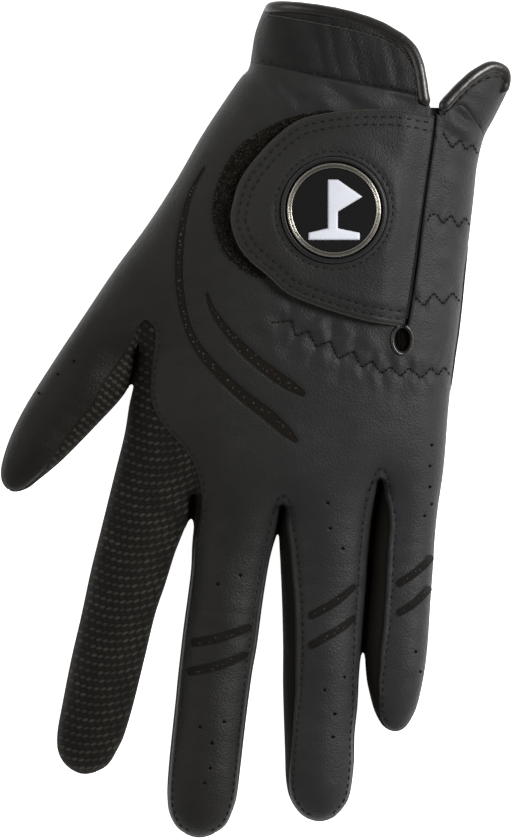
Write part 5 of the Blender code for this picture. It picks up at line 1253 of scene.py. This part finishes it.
def flap_z(p):
    e = flap_near.dist(p)
    fold = 0.5 * np.exp(-((p[:, 0] - 0.55 * p[:, 1] - 13.0) / 2.0) ** 2)
    return back(p) + 0.28 * smooth(e / 1.0) - 0.16 * np.exp(-(flap_stitch_near.dist(p) / 0.4) ** 2) + 0.12 + 0.10 * np.sin(p[:, 1] * 1.1 + p[:, 0] * 0.5) * smooth(e / 2.0) + 0 * fold


v, f = fill(flap_outline, [], FINE)
# tone of the flap: painted shade along its stitch row, with a little random tone
flap = sheet_object("flap_leather", np.column_stack([v, flap_z(v)]), f, M_LEATHER, 0.9, tone=0.42 - 0.2 * np.exp(-(flap_stitch_near.dist(v) / 0.5) ** 2) + 0.03 * waves(v, 8, 3.0, 9.0, 65))
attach(flap, "hand")
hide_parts("flap_band")


def piping(name, curve, r, lift, node, rise=None, flat=0.8, wobble=0.06):
    c = every(curve, 0.6)
    z = (rise or (lambda q: Z_MID + 0.45 + puff(q)))(c) + lift
    s = arc(c)
    rr = r * (1 + wobble * np.sin(s * 0.9) * np.sin(s * 0.43 + 1.0))
    rr = rr * np.sqrt(np.clip(np.minimum(s, s[-1] - s) / (r * 0.9), 0.12, 1.0))
    t = Threads()
    t.cord(np.column_stack([c, z]), rr, 16, True, flat)
    obj = t.build(name, M_PIPING)
    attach(obj, "hand")
    if node:
        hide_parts(node)
    return obj


piping("piping_cuff", joined([(46.2, 84.7), (45.6, 86.0)], offset_curve(cuff_top, np.full(len(cuff_top), 1.4), 1.0), [(4.4, 111.35), (3.2, 111.1), (2.5, 110.8)]), 1.6, 0.05, "cuff_binding", flat=0.62, wobble=0.03)
piping("piping_flap", joined(spline([(66.1, 88.2), (66.95, 90.3), (67.35, 92.3), (66.9, 94.1), (65.6, 95.0)], 0.5), offset_curve(flap_top, np.full(len(flap_top), 1.4), 1.0)[7:]), 1.6, 0.05, "flap_binding", flat=0.62, wobble=0.03)
piping("piping_palm", palm_edge, 1.05, 1.1, "palm_binding", rise=under)
ring_at = np.radians(np.arange(74, -255, -8))
rim = Threads()
rc = np.stack([KEYHOLE[0] + 2.7 * np.cos(ring_at), KEYHOLE[1] + 3.85 * np.sin(ring_at)], axis=1)
rim.cord(np.column_stack([rc, back(rc) + 0.32]), 0.52, 10, True, 0.9)
rim_obj = rim.build("keyhole_rim", M_PIPING)
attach(rim_obj, "hand")
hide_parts("keyhole_binding")
ring_in = np.radians(np.arange(0, 361, 8))
rc = np.stack([KEYHOLE[0] + 2.22 * np.cos(ring_in), KEYHOLE[1] + 3.35 * np.sin(ring_in)], axis=1)
lip = Threads()
lip.cord(np.column_stack([rc, back(rc) + 0.12 + RNG.normal(0, 0.03, len(rc))]), 0.15, 6, False, 0.9)
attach(lip.build("keyhole_raw_edge", M_RAW), "hand")
# ribbed elastic that shows through the keyhole, its colour darkened as painted shade of the hole
v, f = fill(rc[:-1] + (rc[:-1] - np.array(KEYHOLE)) * 0.08, [], 0.35, rows=(0.2,))
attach(make("keyhole_elastic", np.column_stack([v, back(v) - 1.15 + 0.22 * np.sin(2 * math.pi * v[:, 0] / 1.15 + 0.6 * np.sin(v[:, 1] * 1.7))]), f, M_RIBS), "hand")

# ---- mesh let into the grooves, and the bars across the fingers ---------------------------
for n, spine in (("flex_insert_long", FLEX_LONG), ("flex_insert_short", FLEX_SHORT)):
    v, f = fill(ribbon(spine, 0.6, 0.35), [], 0.45, rows=(0.3,))
    weave = 0.05 * np.sin(v[:, 0] * 5.2 + v[:, 1] * 3.0) * np.sin(v[:, 0] * 3.0 - v[:, 1] * 5.2)
    ins = make("mesh_" + n, np.column_stack([v, back(v) - 0.24 + weave]), f, M_STRIP)
    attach(ins, "hand")
    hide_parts(n)

welt = Threads()
for ring in (long_hole, short_hole):
    w = every(np.vstack([ring, ring[:1]]), 0.45)
    welt.cord(np.column_stack([w, leather_z(w, False) - 0.04]), 0.16 + 0.03 * np.sin(arc(w) * 2.3), 6, False, 0.8)
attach(welt.build("welt_inserts", M_THREAD), "hand")
# light specks on the mesh inserts: painted highlights where the mesh's knit catches the light
highlight_dots = Threads()


def highlight_dot(t, x, y, z, r):
    k0 = len(t.v)
    for lat, rr in ((0.0, 1.0), (0.55, 0.83), (0.9, 0.4)):
        for k in range(7):
            a = 2 * math.pi * k / 7
            t.v.append((x + r * rr * math.cos(a), y + r * rr * math.sin(a), z + r * 0.6 * lat))
    t.v.append((x, y, z + r * 0.6))
    for j in range(2):
        for k in range(7):
            t.f.append((k0 + j * 7 + k, k0 + j * 7 + (k + 1) % 7, k0 + (j + 1) * 7 + (k + 1) % 7, k0 + (j + 1) * 7 + k))
    for k in range(7):
        t.f.append((k0 + 14 + k, k0 + 14 + (k + 1) % 7, k0 + 21))


for spine in (FLEX_LONG, FLEX_SHORT):
    c = every(spline(spine, 0.4), 1.05)[3:-2]
    c[:, :2] += RNG.normal(0, 0.16, (len(c), 2)) * c[:, 2:3]
    c = c[RNG.uniform(0, 1, len(c)) < 0.75]
    z = back(c[:, :2])
    for (x, y, _), h in zip(c, z):
        highlight_dot(highlight_dots, x, y, h - 0.24, 0.13 + 0.18 * RNG.uniform() ** 1.5)
highlight_dots_obj = highlight_dots.build("mesh_dot_highlights_hand", M_DOT_HIGHLIGHT)
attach(highlight_dots_obj, "hand")

BAR_ON = {"bar_middle_upper": "middle", "bar_middle_lower": "middle", "bar_ring_upper": "ring", "bar_ring_lower": "ring", "bar_little_upper": "little", "bar_little_lower": "little"}
for n, spine in BARS.items():
    outline = ribbon(spine, 0.6)
    v, f = fill(outline, [], 0.5, rows=(0.15, 0.35, 0.6))
    e = Near(np.vstack([outline, outline[:1]]), step=0.3).dist(v)
    crown = 0.10 * np.sqrt(np.clip(e / 0.7, 0, 1))
    weave = 0.05 * np.sin(v[:, 0] * 5.2 + v[:, 1] * 3.0) * np.sin(v[:, 0] * 3.0 - v[:, 1] * 5.2)
    bar = sheet_object("flex_" + n, np.column_stack([v, leather_z(v) + 0.02 + crown + weave]), f, M_BAR, 0.5)
    bend(bar, BAR_ON[n])
    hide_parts(n)
    welt = Threads()
    w = every(np.vstack([outline, outline[:1]]), 0.35)
    welt.cord(np.column_stack([w, leather_z(w) + 0.05]), 0.17 + 0.04 * np.sin(arc(w) * 2.1), 6, False, 0.9)
    bend(welt.build("welt_" + n, M_THREAD), BAR_ON[n])
    # light specks on the bar: painted highlights of its mesh
    d = Threads()
    c = every(spline(spine, 0.4), 1.3)[1:-1]
    c[:, :2] += RNG.normal(0, 0.16, (len(c), 2)) * c[:, 2:3]
    c = c[RNG.uniform(0, 1, len(c)) < 0.6][:, :2]
    z = leather_z(c)
    for (x, y), h in zip(c, z):
        highlight_dot(d, x, y, h + 0.12, 0.13 + 0.13 * RNG.uniform())
    d_obj = d.build("dot_highlights_" + n, M_DOT_HIGHLIGHT)
    bend(d_obj, BAR_ON[n])

def pit_owner(x, y):
    if inside(np.array([[x, y]]), leather_outline["middle"])[0]:
        return "middle"
    for f in ("ring", "little", "thumb"):
        if inside(np.array([[x, y]]), leather_outline[f])[0]:
            return f
    return "hand"


# perforations: the pits' near-black colour is painted shade inside the holes
pits = {}
for x, y in HOLES:
    owner = pit_owner(x, y)
    t = pits.setdefault(owner, Threads())
    k0, rx, ry, turn = len(t.v), RNG.uniform(0.30, 0.40), RNG.uniform(0.36, 0.50), RNG.uniform(0, 3.1)
    for rr, dz in ((1.0, 0.05), (0.6, 0.01)):
        for k in range(12):
            a = 2 * math.pi * k / 12
            px, py = rx * rr * math.cos(a), ry * rr * math.sin(a)
            at = (x + px * math.cos(turn) - py * math.sin(turn), y + px * math.sin(turn) + py * math.cos(turn))
            t.v.append((*at, float(leather_z(np.array([at]), False)[0]) + dz))
    t.v.append((x, y, float(leather_z(np.array([[x, y]]), False)[0]) - 0.03))
    for k in range(12):
        j = (k + 1) % 12
        t.f.append((k0 + k, k0 + j, k0 + 12 + j, k0 + 12 + k))
        t.f.append((k0 + 12 + k, k0 + 12 + j, k0 + 24))
for owner, t in pits.items():
    o = t.build("pits_" + owner, M_PIT)
    if owner == "hand":
        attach(o, "hand")
    else:
        bend(o, owner)

# ---- stitching ----------------------------------------------------------------------------
for key, f in (("middle_a", "middle"), ("middle_b", "middle"), ("ring_a", "ring"), ("ring_b", "ring"), ("little_a", "little")):
    c = STITCH_AT[key]
    start = {"middle_a": 2, "middle_b": 8, "ring_a": 16, "ring_b": 8, "little_a": 12}[key]
    t = Threads()
    t.row(c[start:-6], lambda p: leather_z(p) + 0.06, 2.05, 1.4, 0.20)
    bend(t.build("stitch_" + key, M_THREAD), f)
hand_thread = Threads()
hand_thread.row(rim_mr, lambda p: leather_z(p) + 0.06, 1.9, 1.3, 0.20)
hand_thread.row(rim_rl, lambda p: leather_z(p) + 0.06, 1.9, 1.3, 0.20)
mesh_row = offset_curve(mesh_edge, np.full(len(mesh_edge), 0.95), 1.0)
hand_thread.row(mesh_row, lambda p: leather_z(p) + 0.05, 2.05, 1.4, 0.19)
hand_thread.row(band_row, lambda p: band_z(p) + 0.05, 2.2, 1.5, 0.20)
brown = Threads()
brown.row(band_bind, lambda p: band_z(p) + 0.05, 2.2, 1.6, 0.21)
brown.row(flap_bind[2:-2], lambda p: flap_z(p) + 0.05, 2.2, 1.6, 0.21)
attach(brown.build("stitch_binding", M_THREAD), "hand")
lip = Threads()
for c, z in ((offset_curve(band_bind, np.full(len(band_bind), -0.42), 1.0), band_z), (offset_curve(flap_bind, np.full(len(flap_bind), -0.42), 1.0)[1:-1], flap_z)):
    c = every(c, 0.45)
    rag = RNG.normal(0, 0.05, (len(c), 2))
    lip.cord(np.column_stack([c + rag, z(c) + 0.03]), 0.17 + 0.06 * np.abs(RNG.normal(0, 1, len(c))), 6, True, 0.8)
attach(lip.build("binding_raw_edge", M_BROWN), "hand")
for q in [GATHER_LEAD, GATHER_MAIN] + GATHER_SIDE:
    for a, b in zip(q[:-1], q[1:]):
        a, b = np.array(a), np.array(b)
        n = max(1, int(round(np.linalg.norm(b - a) / 1.15)))
        for k in range(n):
            p, r = a + (b - a) * (k + 0.14) / n, a + (b - a) * (k + 0.86) / n
            on = p + (r - p) * np.linspace(0, 1, 5)[:, None]
            hand_thread.stitch((*p, 0.0), (*r, 0.0), 0.25, leather_z(on) + 0.10)
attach(hand_thread.build("stitch_hand", M_THREAD), "hand")
# ---- closure tab ------------------------------------------------------------------------------
AXIS_A, AXIS_B = np.array([40.9, 26.0]), np.array([48.9, 82.4])
HINGE = (AXIS_B - AXIS_A) / np.linalg.norm(AXIS_B - AXIS_A)
ACROSS = np.array([-HINGE[1], HINGE[0]])


def reach(p):
    return (p - AXIS_A) @ ACROSS


tab_curve = spline(TAB, 0.5)
tab_free = Near(tab_curve, step=0.3)
tab_outline = joined(fine(tab_curve), line(AXIS_A + [-0.9, 0.0], AXIS_B + [-0.9, -1.0]))
hole_at = np.radians(np.arange(0, 360, 5))
tab_hole = np.stack([MARKER[0] + HOLE_R * np.cos(hole_at), MARKER[1] + HOLE_R * np.sin(hole_at)], axis=1)
mark_row = np.stack([MARKER[0] + 15.9 * np.cos(np.radians(np.arange(0, 361, 4))), MARKER[1] + 15.9 * np.sin(np.radians(np.arange(0, 361, 4)))], axis=1)


def inner_line(d):
    c = offset_curve(tab_curve, np.full(len(tab_curve), d), 1.0)
    return c[reach(c) > 1.2]


tab_rows = [inner_line(1.75), inner_line(3.8)]
tab_stitch = Near(*tab_rows, mark_row, step=0.3)


def tab_mid(p):
    r = np.linalg.norm(p - np.array(MARKER), axis=1)
    k = 1 - smooth((r - FLAT_R) / 7.0)
    base = Z_MID + 0.55 + puff_cache(p)
    return base * (1 - k) + (FLAT_Z + 0.7) * k


def tab_low(p):
    e = tab_free.dist(p)
    return tab_mid(p) + 0.6 + 1.75 * smooth((reach(p) - 1.0) / 8.0) - 0.75 * (1 - smooth(e / 6.0))


def tab_z(p):
    e = tab_free.dist(p)
    z = tab_low(p) + 0.8 + 0.65 * smooth((reach(p) - 0.5) / 6.0)
    z = z - 0.55 * np.clip(1 - e / 0.9, 0, 1) ** 2 + 0.06 * np.exp(-((e - 1.0) / 0.5) ** 2)
    z = z - 0.26 * np.exp(-(tab_stitch.dist(p) / 0.42) ** 2)
    return z + 0.10 * waves(p, 7, 12.0, 30.0, 31) * smooth(e / 4.0) + 0.03 * waves(p, 7, 4.0, 8.0, 33)


v, f = fill(tab_outline, [tab_hole], FINE)
n = len(v)
zt, zl = tab_z(v), tab_low(v)
tab = sheet_object("tab_cover", np.column_stack([v, zt]), f, M_TAB, 1.35)
under_tab = make("tab_underside", np.column_stack([v, zl]), f[:, ::-1], M_PALM)
start = ((AXIS_A + AXIS_B) / 2 - ACROSS * 1.2) / 1000
stop = ((AXIS_A + AXIS_B) / 2 + ACROSS * 2.2) / 1000
for o in (tab, under_tab):
    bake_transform(o)
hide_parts("tab_leather")
along = every(np.array([AXIS_A + HINGE * 1.2, AXIS_B - HINGE * 1.8]), 1.0)
rows = []
for side in (-3.0, -2.0, -1.2, -0.5, 0.1, 0.7, 1.4, 2.2, 3.2, 4.4):
    q = along + ACROSS * side
    up = smooth((side + 0.3) / 2.2)
    rows.append(np.column_stack([q, (back(q) - 1.0) * (1 - up) + (tab_low(q) - 0.08) * up]))
m = len(along)
faces = [(j * m + i, j * m + i + 1, (j + 1) * m + i + 1, (j + 1) * m + i) for j in range(len(rows) - 1) for i in range(m - 1)]
root = make("tab_root", np.vstack(rows), faces, M_LINING)
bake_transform(root)
t = Threads()
raw = every(tab_curve[reach(tab_curve) > 0.8], 0.5)
rag = RNG.normal(0, 0.05, len(raw))
t.cord(np.column_stack([raw, tab_z(raw) - 0.25 + rag]), 0.30 + 0.5 * np.abs(rag), 7, True, 1.5)
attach(t.build("tab_raw_edge", M_RAW), "tab")
t = Threads()
for c in tab_rows:
    t.row(c, lambda p: tab_z(p) + 0.06, 2.3, 1.6, 0.22)
t.row(mark_row, lambda p: tab_z(p) + 0.06, 2.0, 1.4, 0.18)
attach(t.build("stitch_tab", M_THREAD), "tab")

# ---- hook and loop ------------------------------------------------------------------------------
pad_curve = np.vstack([spline(PAD, 0.5), [PAD[0]]])
pad_outline = joined(every(pad_curve, 0.8)[:-1])
v, f = fill(pad_outline, [], 0.9, rows=(0.3, 0.6))
pe = Near(pad_curve, step=0.3).dist(v)
pad = sheet_object("loop_base", np.column_stack([v, back(v) + 0.5 * smooth(pe / 0.8) + 0.06 * waves(v, 9, 1.4, 3.5, 41)]), f, M_LOOPS, 0.7)
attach(pad, "hand")
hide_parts("loop_pad")
fuzz, pale = Threads(), Threads()
lo, hi = pad_outline.min(axis=0), pad_outline.max(axis=0)
want = 7000
q = RNG.uniform(lo, hi, (want * 2, 2))
q = q[inside(q, pad_outline)]
deep = inside(q, tab_curve) & (tab_free.dist(q) > 5.0)
q = q[~deep | (RNG.uniform(0, 1, len(q)) < 0.22)][:want]
zq = back(q) + 0.42
for (x, y), z in zip(q, zq):
    a, w, h = RNG.uniform(0, 2 * math.pi), RNG.uniform(0.18, 0.42), RNG.uniform(0.25, 0.6)
    c, s = math.cos(a) * w, math.sin(a) * w
    bx, by = RNG.normal(0, 0.15, 2)
    path = np.array([(x - c, y - s, z - 0.1), (x - 0.8 * c + bx, y - 0.8 * s + by, z + 0.6 * h), (x + bx, y + by, z + h), (x + 0.8 * c + bx, y + 0.8 * s + by, z + 0.6 * h), (x + c, y + s, z - 0.1)])
    (pale if RNG.uniform() < 0.22 else fuzz).cord(path, 0.055, 3, False)
fuzz_obj = fuzz.build("loop_fibres", M_LOOPS)
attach(fuzz_obj, "hand")
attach(pale.build("loop_fibres_pale", M_FIBRE), "hand")
HOOK = [(17.0, 79.0), (9.0, 76.5), (3.0, 71.0), (-1.5, 64.0), (-3.6, 56.0), (-2.5, 49.0), (2.0, 43.5), (8.5, 38.8), (17.0, 35.4), (25.0, 34.5), (30.0, 40.0), (31.0, 52.0), (31.0, 66.0), (27.5, 77.0)]
hook_curve = np.vstack([spline(HOOK, 0.5), [HOOK[0]]])
hook_out = joined(every(hook_curve, 1.2)[:-1])
v, f = fill(hook_out, [], 1.6, rows=(0.4,))
sv = np.column_stack([v, tab_low(v) - 0.35])
hook_base = make("hook_base", sv, f[:, ::-1], M_LOOPS)
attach(hook_base, "tab")
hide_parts("tab_hook_pad")
hooks = Threads()
gx, gy = np.meshgrid(np.arange(-6, 34, 1.25), np.arange(32, 82, 1.25))
q = np.stack([gx.ravel() + 0.3 * (np.arange(gx.size) % 2), gy.ravel()], axis=1)
q = q[inside(q, hook_out)]
zq = tab_low(q) - 0.36
for (x, y), z in zip(q, zq):
    hooks.cord(np.array([(x, y, z), (x, y, z - 0.4), (x + 0.18, y, z - 0.6), (x + 0.38, y, z - 0.5)]), 0.09, 4, True)
hooks_obj = hooks.build("hook_studs", M_LOOPS)
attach(hooks_obj, "tab")


# ---- marker in its socket -------------------------------------------------------------------------
def turned(name, profile, mat, sides=128, closed=True, centre=MARKER):
    verts, faces, m = [], [], len(profile)
    index = []
    for r, z in profile:
        if r < 1e-6:
            index.append([len(verts)] * sides)
            verts.append((centre[0], centre[1], z))
        else:
            index.append([len(verts) + k for k in range(sides)])
            verts += [(centre[0] + r * math.cos(2 * math.pi * k / sides), centre[1] + r * math.sin(2 * math.pi * k / sides), z) for k in range(sides)]
    for i in range(m if closed else m - 1):
        j = (i + 1) % m
        for k in range(sides):
            q = [index[i][k], index[i][(k + 1) % sides], index[j][(k + 1) % sides], index[j][k]]
            u = []
            for a in q:
                if a not in u:
                    u.append(a)
            if len(u) > 2:
                faces.append(tuple(u))
    obj = make(name, verts, faces, mat)
    obj.data.set_sharp_from_angle(angle=math.radians(42))
    return obj


def rounded_profile(points, r, n=4):
    """A closed (radius, height) outline with each corner rounded."""
    out, m = [], len(points)
    for i in range(m):
        a, b, c = (np.array(points[(i + k) % m], float) for k in (-1, 0, 1))
        if b[0] < 1e-6:
            out.append(tuple(b))
            continue
        u, w = a - b, c - b
        lu, lw = np.linalg.norm(u), np.linalg.norm(w)
        rr = min(r, lu * 0.45, lw * 0.45)
        p, q = b + u / lu * rr, b + w / lw * rr
        for k in range(n + 1):
            s = k / n
            out.append(tuple((1 - s) ** 2 * p + 2 * s * (1 - s) * b + s * s * q))
    return out


BOTTOM = FLAT_Z + 0.7 + 0.75 + 1.75
BASE_Z = BOTTOM + 1.1
ring_profile = rounded_profile([(13.0, BOTTOM), (SOCKET_R + 0.1, BOTTOM), (SOCKET_R + 0.1, BOTTOM + 1.9), (SOCKET_R - 0.5, BOTTOM + 2.35), (MARKER_R + 0.45, BOTTOM + 2.3), (MARKER_R + 0.3, BOTTOM + 1.2)], 0.35)
socket = turned("socket_ring", ring_profile, M_SOCKET)
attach(socket, "tab")
backing = turned("socket_backing", rounded_profile([(0, BOTTOM - 0.12), (15.4, BOTTOM - 0.12), (15.4, BOTTOM + 0.12), (0, BOTTOM + 0.12)], 0.1), M_PALM, 96)
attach(backing, "tab")
cup = turned("socket_cup", [(0, BOTTOM + 0.5), (5.5, BOTTOM + 0.5), (5.5, BOTTOM + 0.62), (13.1, BOTTOM + 0.62), (13.2, BOTTOM + 0.1), (0, BOTTOM + 0.1)][::-1], M_SOCKET, 64)
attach(cup, "tab")
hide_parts("marker_socket")
magnet = turned("magnet_disc", rounded_profile([(0, BOTTOM + 0.6), (5.0, BOTTOM + 0.6), (5.0, BOTTOM + 0.92), (0, BOTTOM + 0.92)], 0.12), M_METAL, 64)
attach(magnet, "tab")
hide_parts("socket_magnet")
R = MARKER_R
rim_profile = rounded_profile([(R - 1.5, BASE_Z), (R - 0.2, BASE_Z), (R, BASE_Z + 0.35), (R, BASE_Z + 1.35), (R - 0.2, BASE_Z + 1.8), (R - 0.55, BASE_Z + 1.85), (R - 0.72, BASE_Z + 1.5), (R - 0.85, BASE_Z + 1.5), (R - 1.0, BASE_Z + 1.8), (R - 1.3, BASE_Z + 1.75), (R - 1.5, BASE_Z + 1.2)], 0.22)
rim_piece = turned("rim_ring", rim_profile, M_METAL, 160)
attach(rim_piece, "marker")
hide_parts("marker_rim")
disc_profile = [(0, BASE_Z + 1.45)] + [(r, BASE_Z + 1.45 - 0.12 * (r / 11.2) ** 2) for r in (2, 4, 6, 8, 9.5, 10.6)] + [(11.15, BASE_Z + 1.28), (11.2, BASE_Z + 1.0), (11.2, BASE_Z), (0, BASE_Z)]
disc = turned("enamel_disc", disc_profile[::-1], M_ENAMEL)
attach(disc, "marker")
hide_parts("marker_disc")
mx, my = MARKER
flag = np.array([(-1.7, -4.9), (-6.9, -6.1), (-6.9, -8.0), (6.9, -8.0), (6.9, -6.1), (1.0, -4.9), (1.0, -0.4), (7.6, 3.6), (1.0, 8.2), (-1.7, 8.2)]) + [mx, my]
flag = every(np.vstack([flag, flag[:1]]), 0.4)[:-1]
if area(flag) < 0:
    flag = flag[::-1]
v, f = fill(flag, [], 0.5, rows=(0.12, 0.25, 0.4))
fe = Near(np.vstack([flag, flag[:1]]), step=0.2).dist(v)
emblem = sheet_object("emblem_flag", np.column_stack([v, BASE_Z + 1.55 + 0.5 * np.clip(fe / 0.35, 0, 1)]), f, M_WHITE, 0.4)
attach(emblem, "marker")
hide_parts("marker_emblem")

# ---- floor, light, camera ------------------------------------------------------------------------
floor_mesh = bpy.data.meshes.new("floor")
floor_mesh.from_pydata([(-3, -3, -0.0004), (3, -3, -0.0004), (3, 3, -0.0004), (-3, 3, -0.0004)], [], [(0, 1, 2, 3)])
floor_mesh.uv_layers.new(name="map")
floor = bpy.data.objects.new("floor", floor_mesh)
bpy.context.scene.collection.objects.link(floor)
floor_mat = material("floor_white", (0.93, 0.93, 0.93), 0.9, bump=0.0, kind="noise", spec=0.1, thumb_side_tint_and_shade=(0.93, 0.93, 0.93))
floor_mat.node_tree.nodes["Principled BSDF"].inputs["Emission Color"].default_value = (1, 1, 1, 1)
floor_mat.node_tree.nodes["Principled BSDF"].inputs["Emission Strength"].default_value = 0.96
floor_mesh.materials.append(floor_mat)


KEY_W, FILL_W, WORLD = 14.0, 3.6, 0.13


def area_light(name, at, size, power, colour=(1, 1, 1)):
    data = bpy.data.lights.new(name, "AREA")
    data.shape, data.size, data.energy, data.color = "DISK", size, power, colour
    obj = bpy.data.objects.new(name, data)
    bpy.context.scene.collection.objects.link(obj)
    obj.location = at
    obj.rotation_euler = (Vector((0, 0, 0.01)) - Vector(at)).to_track_quat("-Z", "Y").to_euler()
    return obj


area_light("key", (0.85, 0.30, 0.92), 0.50, KEY_W, (1.0, 0.995, 0.985))
area_light("fill", (-0.9, 0.2, 1.1), 0.9, FILL_W, (1.0, 0.975, 0.93))
world = bpy.data.worlds.new("studio")
world.use_nodes = True
wn, wl = world.node_tree.nodes, world.node_tree.links.new
coords, split, level = wn.new("ShaderNodeTexCoord"), wn.new("ShaderNodeSeparateXYZ"), wn.new("ShaderNodeMapRange")
wl(coords.outputs["Generated"], split.inputs[0])
wl(split.outputs[2], level.inputs["Value"])
level.inputs["From Min"].default_value, level.inputs["From Max"].default_value = 0.0, 0.85
level.inputs["To Min"].default_value, level.inputs["To Max"].default_value = 0.95, WORLD
wl(level.outputs[0], wn["Background"].inputs[1])
wn["Background"].inputs[0].default_value = (1, 0.985, 0.955, 1)
bpy.context.scene.world = world
bpy.context.scene.view_settings.view_transform = "Standard"

cam_data = bpy.data.cameras.new("camera")
cam_data.sensor_fit = "VERTICAL"
cam_data.sensor_height = 24.0
cam_data.lens = 24.0 * 2.988 / 0.2268
cam_data.clip_end = 20.0
camera = bpy.data.objects.new("camera", cam_data)
bpy.context.scene.collection.objects.link(camera)
camera.location = (0.000135, 0.0, 3.0)
bpy.context.scene.camera = camera
